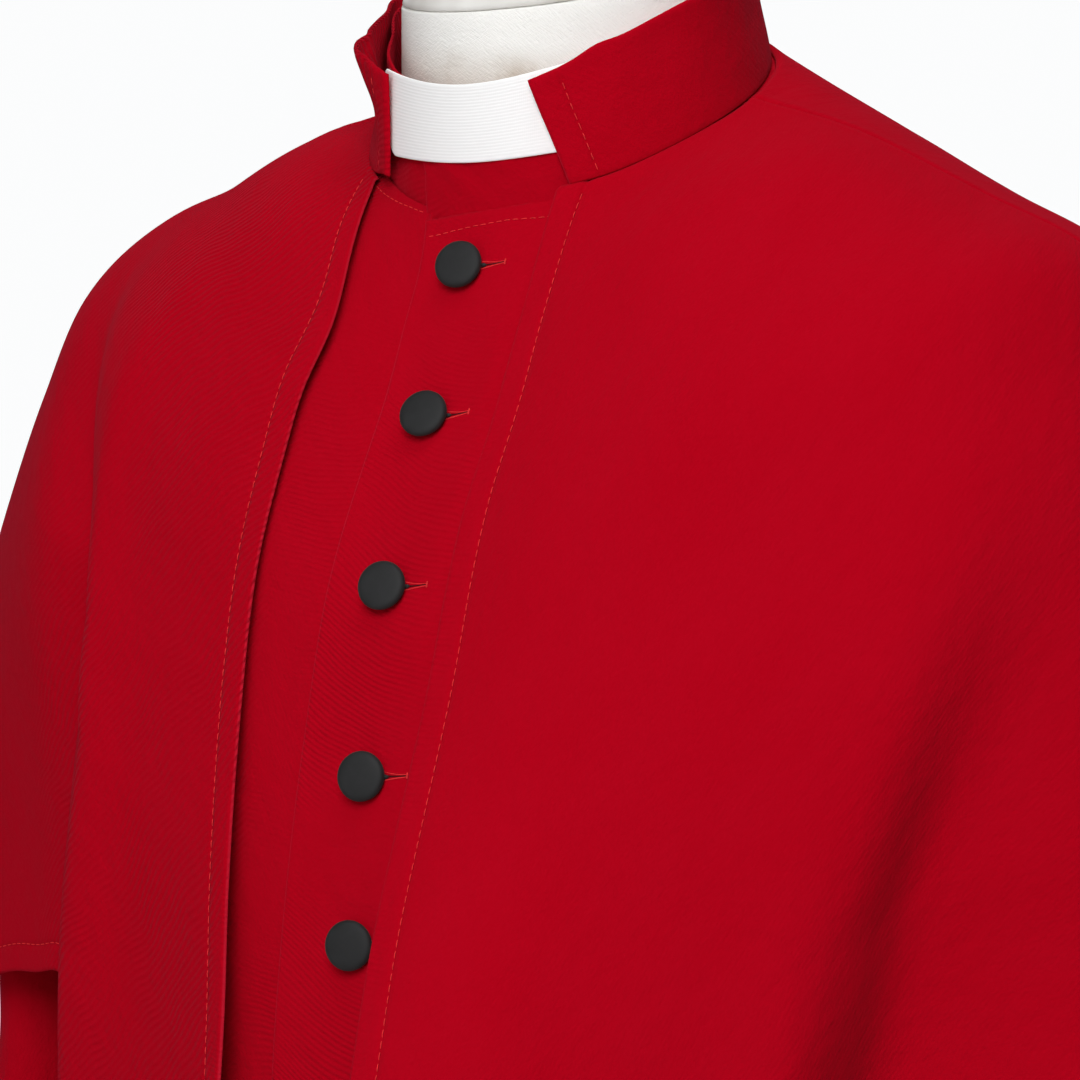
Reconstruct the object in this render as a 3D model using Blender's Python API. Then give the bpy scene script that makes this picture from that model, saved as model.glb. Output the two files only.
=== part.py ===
"""A red clerical cassock with its shoulder cape, standing on a limbless dress form.

Frame: metres, +Z up, the front of the garment faces -Y and the wearer's left is +X.
The origin is on the floor, under the middle of the stand's base.

Cloth is modelled as closed walls.  Every cloth surface is a function of two things:
an angle round the neck's axis (0 at the front, 90 degrees at the wearer's left side)
and a path, the distance down from the neckline.  Tables of rings give its size.
"""

import math
from collections import namedtuple

import bmesh
import bpy
import numpy as np

MM = 0.001

# ---------------------------------------------------------------- driving sizes
NECK_PIT_HEIGHT = 1.448  # floor to the neck seam at the centre front
CLOTH = 1.5 * MM  # wall of the cassock and the cape
COLLAR_CLOTH = 1.8 * MM  # wall of the interfaced outer collar
BAND_CLOTH = 1.2 * MM
TAB_CLOTH = 1.1 * MM
SEAM_GAP = 0.3 * MM  # between two panels that are sewn together
LAYER_GAP = 0.6 * MM  # between two layers that lie on each other

BUTTON_COUNT = 15
BUTTON_SPACING = 62 * MM
BUTTON_SHIFTS = (1.5, -3, -1, 3, -1)  # how far, in mm, the first ones are sewn too low
FIRST_BUTTON_DROP = 20 * MM  # neck seam to the top button's middle
BUTTON_RADIUS = 8.8 * MM
BUTTON_SIDES = 12
BUTTON_TILT = 12.0  # degrees by which the worn buttons turn to the wearer's left

RIGHT_FRONT_EDGE_X = 20 * MM  # the right front lies underneath and passes the middle
SKIRT_HEM_PATH = 1.42
CAPE_NECK_PATH = 3.2 * MM  # clear of the collar's foot
CAPE_HEM_PATH = 0.44

ARMHOLE_TOP_PATH = 0.145
ARMHOLE_FOOT_PATH = 0.290
ARMHOLE_HALF_ANGLE = 23.0
SLEEVE_SIDES = 16

COLLAR_HEIGHT = 41.5 * MM
BAND_FOOT = 1.6 * MM
COLLAR_INSET = 3.9 * MM  # from the outer collar's inner face to the band's under end
BAND_HEIGHT = 40 * MM
TAB_FOOT = 18.2 * MM
TAB_HEAD = 46 * MM
TAB_STRAIGHT = 0.6  # 0 follows the neckline's rise, 1 is level
TAB_ANGLES = (-41.0, 44.0)

FORM_FOOT_PATH = 0.80
POLE_RADIUS = 16 * MM
BASE_RADIUS = 0.19
BASE_THICKNESS = 8 * MM
YOKE_LEAN = 0.4  # how level the yoke stays on its way from side to front, 0 to 1

# ---------------------------------------------------------------- tables, in mm
# middle is how far behind the neck's axis a ring is widest.  half_width, front and
# back are distances from the axis.  The rises are heights above the neck pit, at
# the side, the front and the back.  squareness 2 is an ellipse, more is boxier.
Ring = namedtuple(
    "Ring",
    "path middle half_width front back side_rise front_rise back_rise squareness",
)

CASSOCK_RINGS = [
    Ring(0, 5, 73.5, 55.5, 70, 40.5, 0, 75, 2.0),
    Ring(50, 7, 119, 71.5, 92, 23.5, -46.5, 39.5, 2.05),
    Ring(100, 10, 164, 92.5, 109, 1.5, -92.5, -6, 2.15),
    Ring(145, 12, 200, 109, 121, -18.5, -134, -50, 2.15),
    Ring(200, 13, 206, 119, 129, -66, -188, -100, 2.2),
    Ring(290, 12, 195, 129.5, 127, -148, -277, -185, 2.3),
    Ring(400, 10, 187, 132, 120, -258, -387, -293, 2.3),
    Ring(530, 6, 184, 130, 114, -388, -500, -420, 2.2),
    Ring(730, 5, 204, 147, 142, -590, -670, -612, 2.1),
    Ring(1080, 5, 258, 200, 208, -972, -1000, -982, 2.0),
    Ring(1420, 5, 312, 255, 265, -1370, -1370, -1370, 2.0),
]

CAPE_RINGS = [
    Ring(0, 5, 77.1, 60.1, 73.6, 41.5, 0, 75.5, 2.0),
    Ring(50, 7, 124, 77.5, 96, 27, -46, 43, 2.1),
    Ring(100, 10, 170, 99, 114, 5, -92, -1, 2.15),
    Ring(148, 12, 210, 115, 127, -17, -138, -48, 2.15),
    Ring(190, 14, 233, 123, 138, -52, -181, -88, 2.1),
    Ring(250, 15, 260, 131, 148, -108, -240, -146, 2.1),
    Ring(330, 16, 286, 137, 160, -186, -320, -225, 2.1),
    Ring(440, 16, 308, 142, 176, -294, -430, -334, 2.1),
]

# Where the cape's two front edges cross the chest, in mm from the middle.
Edge = namedtuple("Edge", "path left_x right_x")

CAPE_EDGES = [
    Edge(0, 33.5, -54),
    Edge(30, 33, -50),
    Edge(60, 32.5, -47.5),
    Edge(90, 32.5, -52),
    Edge(120, 29, -53),
    Edge(180, 27.5, -55),
    Edge(220, 26.7, -53.4),
    Edge(260, 26.6, -50.4),
    Edge(300, 28, -47),
    Edge(340, 28, -46),
    Edge(440, 28, -46),
]

COLLAR_RINGS = [
    Ring(0, 5, 77.1, 60.1, 73.6, 42, 0.4, 75.9, 2.0),
    Ring(15, 5, 77.1, 61.9, 73.6, 58.3, 15.2, 92.5, 2.0),
    Ring(30, 5, 76.6, 63.9, 73.4, 75, 30, 110, 2.0),
    Ring(50, 5, 75.9, 66.5, 73.1, 97.5, 50, 132.5, 2.0),
]

NECK_RINGS = [
    Ring(0, 4, 63.5, 56, 66, 85, 70, 100, 2.0),
    Ring(0, 4, 64, 55, 66, 60, 36, 84, 2.0),
    Ring(0, 5, 66.5, 51, 66, 38, 4, 71, 2.0),
]

# A fold runs down a cloth from its start path.  Its depth at the hem is outwards
# if positive, lift is how far it raises the hem, its angle may drift on the way
# down, and a lower power has a sharper crest.
Fold = namedtuple("Fold", "angle hem_angle half_angle depth lift start full power")

CAPE_FOLDS = [
    # the left front edge hangs off the chest
    Fold(14, 10, 24, 44, 0, 130, 380, 2),
    # between the chest and the right arm, with the crest that hangs in front of it
    Fold(-64, -63, 15, -38, 0, 185, 440, 2),
    Fold(-66, -47, 4.5, 6, 0, 110, 240, 1.5),
    Fold(-75, -55.5, 6, -13, 0, 125, 215, 2),
    # the right side is hitched up over the arm
    Fold(-58, -58, 22, 0, 46, 170, 440, 2),
    # between the chest and the left arm
    Fold(76, 65, 17, -38, 0, 190, 440, 2),
    Fold(77, 64, 8, -11, 0, 200, 400, 2),
    Fold(67, 51, 8, 8, 0, 190, 400, 2),
    # the right shoulder stands a little higher than the left
    Fold(-80, -80, 40, 0, 7, 0, 35, 2),
    Fold(-80, -80, 40, 0, -2.5, 40, 90, 2),
    Fold(-85, -85, 45, 0, -4.5, 130, 240, 2),
    Fold(-95, -95, 25, -3, 0, 120, 170, 2),
    # the arms' own crests
    Fold(-93, -93, 12, 5, 0, 220, 440, 2),
    Fold(94, 92, 12, 5, 0, 220, 440, 2),
    # the back
    Fold(-118, -120, 14, -26, 0, 190, 440, 2),
    Fold(118, 121, 14, -28, 0, 190, 440, 2),
    Fold(-148, -148, 11, 9, 0, 200, 440, 2),
    Fold(150, 148, 11, 8, 0, 200, 440, 2),
    Fold(-168, -166, 9, -11, 0, 220, 440, 2),
    Fold(169, 168, 9, -10, 0, 220, 440, 2),
]

SKIRT_FOLDS = [
    Fold(24, 22, 9, 13, 0, 560, 1420, 2),
    Fold(44, 42, 9, -16, 0, 560, 1420, 2),
    Fold(64, 62, 9, 14, 0, 620, 1420, 2),
    Fold(88, 86, 10, -12, 0, 680, 1420, 2),
    Fold(112, 112, 10, 15, 0, 620, 1420, 2),
    Fold(136, 136, 10, -17, 0, 580, 1420, 2),
    Fold(160, 160, 10, 14, 0, 560, 1420, 2),
    Fold(-178, -176, 9, -16, 0, 600, 1420, 2),
    Fold(-156, -155, 9, 15, 0, 560, 1420, 2),
    Fold(-134, -134, 10, -16, 0, 600, 1420, 2),
    Fold(-110, -110, 10, 14, 0, 640, 1420, 2),
    Fold(-87, -86, 10, -12, 0, 680, 1420, 2),
    Fold(-64, -62, 9, 15, 0, 600, 1420, 2),
    Fold(-43, -42, 9, -15, 0, 560, 1420, 2),
    Fold(-24, -23, 8, 11, 0, 560, 1420, 2),
]

# The stand and the collar are both pinched in beside the right end, and only the
# outer collar flares above it.
NECK_PINCH = [Fold(-62, -62, 12, -4, 0, 0, 14, 2), Fold(118, 118, 45, -5.5, 0, 0, 41, 2)]

COLLAR_FOLDS = NECK_PINCH + [
    Fold(-52, -52, 13, 7, 0, 20, 43, 2),
    Fold(-100, -100, 10, -3, 0, 15, 45, 2),
]

# Where the collar's ends cross the front, in mm, at its foot and at its head.
COLLAR_LEFT_END = (37, 25.5)
COLLAR_RIGHT_END = (-42, -37.5)

# Where the left front's edge runs over the right front, as (path, x) in mm.
LEFT_FRONT_EDGE = [(0, -20), (24, -19), (48, -20.5), (80, -20.5), (115, -23), (1420, -23)]
BAND_LEFT_END_X = -24 * MM

# The sleeve hangs empty.  Each row is one section: its middle, the angle by which
# it is turned from upright towards level, and its half sizes.
Section = namedtuple("Section", "along middle_x middle_y rise turn half_out half_deep")

SLEEVE_SECTIONS = [
    Section(20, 206.5, 12, -92.5, 7, 57, 63.8),
    Section(48, 214.5, 12, -108.5, 15, 46, 59),
    Section(80, 221, 12, -130, 28, 33.5, 56),
    Section(110, 226, 12, -164, 55, 24, 56),
    Section(155, 228.5, 11, -203, 82, 21, 55),
    Section(290, 232, 8, -330, 90, 22.5, 54),
    Section(420, 241, 3, -455, 90, 24, 54),
    Section(560, 255, -2, -600, 90, 24, 54),
]


# ---------------------------------------------------------------- surfaces
def spline(knots, values, at):
    """A smooth curve through (knots, values): cubic pieces with matched slopes."""
    knots = np.asarray(knots, float)
    values = np.asarray(values, float)
    chords = np.diff(values) / np.diff(knots)
    slopes = np.empty_like(values)
    slopes[0], slopes[-1] = chords[0], chords[-1]
    before, after = np.diff(knots)[:-1], np.diff(knots)[1:]
    slopes[1:-1] = (chords[:-1] * after + chords[1:] * before) / (before + after)
    at = np.clip(at, knots[0], knots[-1])
    k = np.clip(np.searchsorted(knots, at, side="right") - 1, 0, len(knots) - 2)
    width = knots[k + 1] - knots[k]
    t = (at - knots[k]) / width
    return (
        (1 + 2 * t) * (1 - t) ** 2 * values[k]
        + t * (1 - t) ** 2 * width * slopes[k]
        + t * t * (3 - 2 * t) * values[k + 1]
        + t * t * (t - 1) * width * slopes[k + 1]
    )


def ring_values(rings, path):
    """The ring columns at any path, in metres, as a dict of arrays."""
    knots = [ring.path * MM for ring in rings]
    found = {}
    for name in Ring._fields[1:]:
        unit = 1.0 if name == "squareness" else MM
        column = [getattr(ring, name) * unit for ring in rings]
        found[name] = spline(knots, column, path)
    return found


def smooth_step(value):
    value = np.clip(value, 0, 1)
    return value * value * (3 - 2 * value)


def drape(folds, angle, path):
    """How far the folds move the cloth outwards and upwards.  Angles are in degrees."""
    outwards = np.zeros(np.broadcast(angle, path).shape)
    upwards = outwards.copy()
    for fold in folds:
        share = (path / MM - fold.start) / (fold.full - fold.start)
        middle = fold.angle + (fold.hem_angle - fold.angle) * np.clip(share, 0, 1)
        off = (angle - middle + 180) % 360 - 180
        shape = smooth_step(share) * np.exp(-(np.abs(off / fold.half_angle) ** fold.power))
        outwards += fold.depth * MM * shape
        upwards += fold.lift * MM * shape
    return outwards, upwards


def surface(rings, folds, angle, path):
    """Points of a cloth's inner face at these angles (degrees) and paths (metres)."""
    angle, path = np.broadcast_arrays(np.asarray(angle, float), np.asarray(path, float))
    size = ring_values(rings, path)
    across, ahead = np.sin(np.radians(angle)), np.cos(np.radians(angle))
    middle = size["middle"]
    reach = np.where(ahead > 0, size["front"] + middle, size["back"] - middle)
    power = size["squareness"]
    spread = np.abs(across / size["half_width"]) ** power + np.abs(ahead / reach) ** power
    outwards, upwards = drape(folds, angle, path)
    radius = spread ** (-1 / power) + outwards
    tilt = (size["front_rise"] - size["back_rise"]) / 2
    sag = (size["front_rise"] + size["back_rise"]) / 2 - size["side_rise"]
    lean = ahead + YOKE_LEAN * smooth_step(path / 0.06) * (ahead**3 - ahead)
    rise = size["side_rise"] + tilt * lean + sag * ahead**2 + upwards
    height = NECK_PIT_HEIGHT + rise
    return np.stack([radius * across, middle - radius * ahead, height], axis=-1)


def outward(rings, folds, angle, path):
    """Unit normals of that surface, pointing away from the neck's axis."""
    turn, step = 0.05, 0.2 * MM
    middle = np.clip(path, step, rings[-1].path * MM - step)
    low, high = middle - step, middle + step
    along = surface(rings, folds, angle, high) - surface(rings, folds, angle, low)
    round_it = surface(rings, folds, angle + turn, path) - surface(rings, folds, angle - turn, path)
    normal = np.cross(along, round_it)
    normal /= np.linalg.norm(normal, axis=-1, keepdims=True)
    away = np.stack([np.sin(np.radians(angle)), -np.cos(np.radians(angle)), 0 * angle], axis=-1)
    facing = np.sign((normal * away).sum(axis=-1, keepdims=True))
    return normal * facing


def moved(rings, folds, angle, path, distance):
    """The surface moved outwards by a distance, which may be an array."""
    angle, path = np.broadcast_arrays(np.asarray(angle, float), np.asarray(path, float))
    distance = np.broadcast_to(distance, angle.shape)
    points = surface(rings, folds, angle, path)
    return points + outward(rings, folds, angle, path) * distance[..., None]


def angle_at_x(rings, folds, path, x):
    """The angle near the centre front where the surface crosses this x."""
    middle = ring_values(rings, path)["middle"]
    angle = np.zeros_like(path)
    for _ in range(12):
        here = surface(rings, folds, angle, path)
        angle = np.degrees(np.arctan2(x, middle - here[..., 1]))
    return angle


def side_gap(rings, path):
    """Half a seam's gap, as an angle at the side."""
    return np.degrees(0.5 * SEAM_GAP / ring_values(rings, path)["half_width"])


# ---------------------------------------------------------------- objects
def material(name, colour, roughness):
    made = bpy.data.materials.new(name)
    made.use_nodes = True
    shader = made.node_tree.nodes["Principled BSDF"]
    shader.inputs["Base Color"].default_value = (*colour, 1)
    shader.inputs["Roughness"].default_value = roughness
    return made


def add_object(name, mesh, look):
    made = bpy.data.objects.new(name, mesh)
    bpy.context.scene.collection.objects.link(made)
    mesh.materials.append(look)
    mesh.shade_smooth()
    return made


def wall(name, inner, outer, look, closed=False):
    """A closed wall between two grids of points, rows by columns.

    closed joins the last column to the first, as on a tube.
    """
    rows, columns = inner.shape[:2]
    build = bmesh.new()
    sides = []
    for grid in (inner, outer):
        sides.append([[build.verts.new(point) for point in row] for row in grid])
    steps = columns if closed else columns - 1

    def face(*corners):
        build.faces.new([sides[s][i][j % columns] for s, i, j in corners])

    for j in range(steps):
        for i in range(rows - 1):
            face((0, i, j), (0, i, j + 1), (0, i + 1, j + 1), (0, i + 1, j))
            face((1, i, j), (1, i + 1, j), (1, i + 1, j + 1), (1, i, j + 1))
        face((0, 0, j), (1, 0, j), (1, 0, j + 1), (0, 0, j + 1))
        last = rows - 1
        face((0, last, j), (0, last, j + 1), (1, last, j + 1), (1, last, j))
    if not closed:
        for i in range(rows - 1):
            face((0, i, 0), (0, i + 1, 0), (1, i + 1, 0), (1, i, 0))
            end = columns - 1
            face((0, i, end), (1, i, end), (1, i + 1, end), (0, i + 1, end))
    bmesh.ops.recalc_face_normals(build, faces=build.faces)
    mesh = bpy.data.meshes.new(name)
    build.to_mesh(mesh)
    build.free()
    return add_object(name, mesh, look)


def stack_of_rings(name, rings, look):
    """A closed solid through rings of points, its two ends filled with a fan."""
    build = bmesh.new()
    loops = [[build.verts.new(point) for point in ring] for ring in rings]
    for upper, lower in zip(loops, loops[1:]):
        for j in range(len(upper)):
            k = (j + 1) % len(upper)
            build.faces.new([upper[j], upper[k], lower[k], lower[j]])
    for loop in (loops[0], loops[-1]):
        middle = build.verts.new(np.mean([vert.co for vert in loop], axis=0))
        for j in range(len(loop)):
            build.faces.new([loop[j], loop[(j + 1) % len(loop)], middle])
    bmesh.ops.recalc_face_normals(build, faces=build.faces)
    mesh = bpy.data.meshes.new(name)
    build.to_mesh(mesh)
    build.free()
    return add_object(name, mesh, look)


# ---------------------------------------------------------------- cassock body
def armhole_turns():
    """The turns round the armhole at which its rows and the sleeve's sides lie."""
    return np.radians(np.linspace(0, 180, SLEEVE_SIDES // 2 + 1))


def armhole_path(turn):
    middle = (ARMHOLE_TOP_PATH + ARMHOLE_FOOT_PATH) / 2
    half = (ARMHOLE_FOOT_PATH - ARMHOLE_TOP_PATH) / 2
    return middle - half * np.cos(turn)


def body_rows():
    """(paths, armhole half angles) of the rows of the cassock's body."""
    yoke = np.linspace(0, ARMHOLE_TOP_PATH, 7)[:-1]
    turns = armhole_turns()
    skirt = np.array([340, 400, 465, 530, 625, 730, 850, 970, 1090, 1200, 1310, 1420]) * MM
    paths = np.concatenate([yoke, armhole_path(turns), skirt])
    cut = np.concatenate([0 * yoke, ARMHOLE_HALF_ANGLE * np.sin(turns), 0 * skirt])
    return paths, cut


def front_columns(paths, cut, near_x, far_x, side):
    """Angles of a front's columns: its edge, the middle, the other front's edge, then to the side."""
    near = angle_at_x(CASSOCK_RINGS, SKIRT_FOLDS, paths, near_x)
    far = angle_at_x(CASSOCK_RINGS, SKIRT_FOLDS, paths, far_x)
    turn_start = 30.0 * side
    end = (90 - cut - side_gap(CASSOCK_RINGS, paths)) * side
    columns = [near, 0 * near, far, (far + turn_start) / 2]
    for share in np.linspace(0, 1, 7):
        columns.append(turn_start + (end - turn_start) * share)
    return np.stack(columns, axis=1)


def make_fronts(look):
    """The two fronts.  The left one lies on the right one.  Returns its middle line."""
    paths, cut = body_rows()
    lift_shares = [1, 1, 1, 0.4, 0, 0, 0, 0, 0, 0, 0]
    lift = np.array(lift_shares) * (CLOTH + LAYER_GAP)
    left_edge_x = spline(*zip(*LEFT_FRONT_EDGE), paths / MM) * MM
    left = front_columns(paths, cut, left_edge_x, RIGHT_FRONT_EDGE_X, 1)
    right = front_columns(paths, cut, RIGHT_FRONT_EDGE_X, left_edge_x, -1)
    middle_column = 1
    for name, angles, inner in (("front_right", right, 0 * lift), ("front_left", left, lift)):
        faces = []
        for distance in (inner, inner + CLOTH):
            faces.append(moved(CASSOCK_RINGS, SKIRT_FOLDS, angles, paths[:, None], distance[None, :]))
        wall(name, faces[0], faces[1], look)
    return faces[1][:, middle_column]


def make_back(look):
    paths, cut = body_rows()
    start = 90 + cut + side_gap(CASSOCK_RINGS, paths)
    end = 270 - cut - side_gap(CASSOCK_RINGS, paths)
    angles = start[:, None] + (end - start)[:, None] * np.linspace(0, 1, 19)[None, :]
    grid = paths[:, None]
    wall(
        "back",
        surface(CASSOCK_RINGS, SKIRT_FOLDS, angles, grid),
        moved(CASSOCK_RINGS, SKIRT_FOLDS, angles, grid, CLOTH),
        look,
    )


# ---------------------------------------------------------------- sleeves
def armhole_ring(distance):
    """The sleeve's first ring: the armhole's outline, a little smaller."""
    turns = np.radians(np.arange(SLEEVE_SIDES) * 360 / SLEEVE_SIDES)
    middle = (ARMHOLE_TOP_PATH + ARMHOLE_FOOT_PATH) / 2
    shrink = 2.5 * SEAM_GAP
    half_path = (ARMHOLE_FOOT_PATH - ARMHOLE_TOP_PATH) / 2 - shrink
    half_angle = ARMHOLE_HALF_ANGLE - np.degrees(shrink / ring_values(CASSOCK_RINGS, middle)["half_width"])
    angle = 90 + half_angle * np.sin(turns)
    path = middle - half_path * np.cos(turns)
    return moved(CASSOCK_RINGS, SKIRT_FOLDS, angle, path, distance)


def section_ring(section, grow):
    """One section's points, its half sizes grown by a wall's thickness."""
    turns = np.radians(np.arange(SLEEVE_SIDES) * 360 / SLEEVE_SIDES)
    tilt = math.radians(section.turn)
    out = (section.half_out * MM + grow) * np.cos(turns)
    deep = (section.half_deep * MM + grow) * np.sin(turns)
    return np.stack(
        [
            section.middle_x * MM + out * math.sin(tilt),
            section.middle_y * MM + deep,
            NECK_PIT_HEIGHT + section.rise * MM + out * math.cos(tilt),
        ],
        axis=-1,
    )


def sleeve_grid(first_distance, grow, alongs):
    """Rings of the sleeve at these distances from the armhole, by a smooth curve through its sections."""
    knots = [0.0] + [section.along * MM for section in SLEEVE_SECTIONS]
    rings = [armhole_ring(first_distance)]
    rings += [section_ring(section, grow) for section in SLEEVE_SECTIONS]
    rings = np.array(rings)
    grid = np.empty((len(alongs), SLEEVE_SIDES, 3))
    for j in range(SLEEVE_SIDES):
        for axis in range(3):
            grid[:, j, axis] = spline(knots, rings[:, j, axis], np.array(alongs))
    return grid


def make_sleeves(look):
    alongs = np.array([0, 20, 48, 80, 110, 155, 220, 290, 355, 420, 490, 560]) * MM
    inner = sleeve_grid(0.0, 0.0, alongs)
    outer = sleeve_grid(CLOTH, CLOTH, alongs)
    wall("sleeve_left", inner, outer, look, closed=True)
    mirror = np.array([-1, 1, 1])
    wall("sleeve_right", inner * mirror, outer * mirror, look, closed=True)


# ---------------------------------------------------------------- cape and collar
def cape_edge_x(side, paths):
    """How far a front edge of the cape is from the middle, at these paths, in metres."""
    knots = [edge.path * MM for edge in CAPE_EDGES]
    return spline(knots, [getattr(edge, side) * MM for edge in CAPE_EDGES], paths)


def make_cape(look):
    yoke = np.linspace(CAPE_NECK_PATH / MM, 148, 6)[:-1]
    paths = np.concatenate([yoke, np.linspace(148, 440, 10)]) * MM
    grid = paths[:, None]
    gap = side_gap(CAPE_RINGS, paths)
    left_edge = angle_at_x(CAPE_RINGS, CAPE_FOLDS, paths, cape_edge_x("left_x", paths))
    right_edge = angle_at_x(CAPE_RINGS, CAPE_FOLDS, paths, cape_edge_x("right_x", paths))
    spans = (
        ("cape_front_left", left_edge, 90 - gap, 13),
        ("cape_back", 90 + gap, 270 - gap, 27),
        ("cape_front_right", -90 + gap, right_edge, 15),
    )
    for name, start, end, count in spans:
        angles = start[:, None] + (end - start)[:, None] * np.linspace(0, 1, count)[None, :]
        wall(
            name,
            surface(CAPE_RINGS, CAPE_FOLDS, angles, grid),
            moved(CAPE_RINGS, CAPE_FOLDS, angles, grid, CLOTH),
            look,
        )


def make_collar(look):
    """The outer collar, open at the front, where its two ends lean together."""
    heights = np.linspace(0, COLLAR_HEIGHT, 5)
    ends = []
    for foot_x, head_x in (COLLAR_LEFT_END, COLLAR_RIGHT_END):
        x = (foot_x + (head_x - foot_x) * heights / COLLAR_HEIGHT) * MM
        ends.append(angle_at_x(COLLAR_RINGS, COLLAR_FOLDS, heights, x))
    start, end = ends[0], ends[1] + 360
    angles = start[:, None] + (end - start)[:, None] * np.linspace(0, 1, 33)[None, :]
    grid = heights[:, None]
    wall(
        "cape_collar",
        surface(COLLAR_RINGS, COLLAR_FOLDS, angles, grid),
        moved(COLLAR_RINGS, COLLAR_FOLDS, angles, grid, COLLAR_CLOTH),
        look,
    )


def make_neck_band(look):
    """The cassock's own stand, wound once round with its left end on top."""
    heights = np.array([BAND_FOOT, BAND_HEIGHT / 2, BAND_HEIGHT])
    under = angle_at_x(COLLAR_RINGS, [], heights, RIGHT_FRONT_EDGE_X)
    over = angle_at_x(COLLAR_RINGS, [], heights, BAND_LEFT_END_X)
    shares = np.linspace(0, 1, 33)
    angles = under[:, None] + (over - 360 - under)[:, None] * shares[None, :]
    inner = -COLLAR_INSET + (BAND_CLOTH + LAYER_GAP) * smooth_step(shares)
    grid = heights[:, None]
    wall(
        "neck_band",
        moved(COLLAR_RINGS, NECK_PINCH, angles, grid, inner[None, :] - BAND_CLOTH),
        moved(COLLAR_RINGS, NECK_PINCH, angles, grid, inner[None, :]),
        look,
    )


def make_tab(look):
    """A nearly straight strip, tucked behind both ends of the outer collar."""
    angles = np.linspace(*TAB_ANGLES, 15)[None, :]
    seam = surface(COLLAR_RINGS, [], angles, 0 * angles)[..., 2] - NECK_PIT_HEIGHT
    heights = np.linspace(TAB_FOOT, TAB_HEAD, 3)[:, None] - TAB_STRAIGHT * seam
    inner = BAND_CLOTH + LAYER_GAP + SEAM_GAP - COLLAR_INSET
    wall(
        "collar_tab",
        moved(COLLAR_RINGS, [], angles, heights, inner),
        moved(COLLAR_RINGS, [], angles, heights, inner + TAB_CLOTH),
        look,
    )


# ---------------------------------------------------------------- buttons
def make_buttons(middle_line, look):
    """Cloth-covered buttons: a domed cap on a short shank, square to the cloth."""
    # (radius, height above the cloth), from the middle of the dome to the shank's foot
    r = BUTTON_RADIUS
    profile = [
        (0.72 * r, 6.0),
        (0.93 * r, 5.3),
        (r, 4.0),
        (0.93 * r, 2.8),
        (0.34 * r, 2.2),
        (0.34 * r, 1.0),
    ]
    steps = np.diff(middle_line, axis=0)
    run = np.concatenate([[0], np.cumsum(np.linalg.norm(steps, axis=1))])
    turns = np.radians(np.arange(BUTTON_SIDES) * 360 / BUTTON_SIDES)
    tilt = math.radians(BUTTON_TILT)
    across = np.array([math.cos(tilt), math.sin(tilt), 0.0])
    for number in range(BUTTON_COUNT):
        drop = FIRST_BUTTON_DROP + BUTTON_SPACING * number
        if number < len(BUTTON_SHIFTS):
            drop += BUTTON_SHIFTS[number] * MM
        foot = np.array([np.interp(drop, run, middle_line[:, axis]) for axis in range(3)])
        step = steps[np.searchsorted(run, drop) - 1]
        up = -step / np.linalg.norm(step)
        normal = np.cross(across, up)
        normal /= np.linalg.norm(normal)
        rings = []
        for radius, height in profile:
            spoke = np.cos(turns)[:, None] * across + np.sin(turns)[:, None] * up
            rings.append(foot + normal * height * MM + spoke * radius)
        stack_of_rings(f"button_{number + 1:02d}", rings, look)


# ---------------------------------------------------------------- dress form
def form_clearance(angle, path):
    """The cassock rests on the tops of the shoulders and stands clear elsewhere."""
    over_shoulder = smooth_step(1.6 - np.abs(np.abs((angle + 180) % 360 - 180) - 90) / 25)
    on_top = smooth_step((path - 0.02) / 0.02) * smooth_step((0.155 - path) / 0.03)
    return 1.5 * LAYER_GAP + 3.5 * MM * (1 - over_shoulder * on_top)


def make_form(cover, cap_look, metal):
    """The torso and neck, the neck's cap, the pole and the base."""
    angles = np.arange(0, 360, 10.0)
    paths, _ = body_rows()
    paths = paths[(paths > 0.03) & (paths < FORM_FOOT_PATH)]
    neck = []
    for ring in NECK_RINGS:
        neck.append(surface([ring, ring._replace(path=1)], [], angles, 0 * angles))
    torso = list(neck)
    for path in paths:
        clear = form_clearance(angles, path)
        torso.append(moved(CASSOCK_RINGS, [], angles, path + 0 * angles, -clear))
    foot = torso[-1].copy()
    foot[:, 2] = foot[:, 2].min() - 20 * MM
    foot[:, :2] *= 0.93
    torso.append(foot)
    stack_of_rings("form_torso", torso, cover)

    cap = []
    for share, lift in ((0.55, 15.0), (0.9, 9.0), (1.0, 0.3)):
        ring = neck[0].copy()
        middle = ring.mean(axis=0)
        ring = middle + (ring - middle) * share
        ring[:, 2] += lift * MM
        cap.append(ring)
    stack_of_rings("form_neck_cap", cap, cap_look)

    foot_height = float(foot[:, 2].min())
    turned("form_pole", [(POLE_RADIUS, foot_height - SEAM_GAP), (POLE_RADIUS, BASE_THICKNESS + SEAM_GAP)], 20, metal)
    rim = 3 * MM
    base = [(0.05, BASE_THICKNESS), (BASE_RADIUS - rim, BASE_THICKNESS), (BASE_RADIUS, BASE_THICKNESS - rim), (BASE_RADIUS, 0)]
    turned("form_base", base, 40, metal)


def turned(name, profile, sides, look):
    """A solid turned about the vertical axis, from (radius, height) pairs, top to bottom."""
    turns = np.radians(np.arange(sides) * 360 / sides)
    rings = []
    for radius, height in profile:
        rings.append(np.stack([radius * np.sin(turns), -radius * np.cos(turns), height + 0 * turns], axis=-1))
    return stack_of_rings(name, rings, look)


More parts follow.
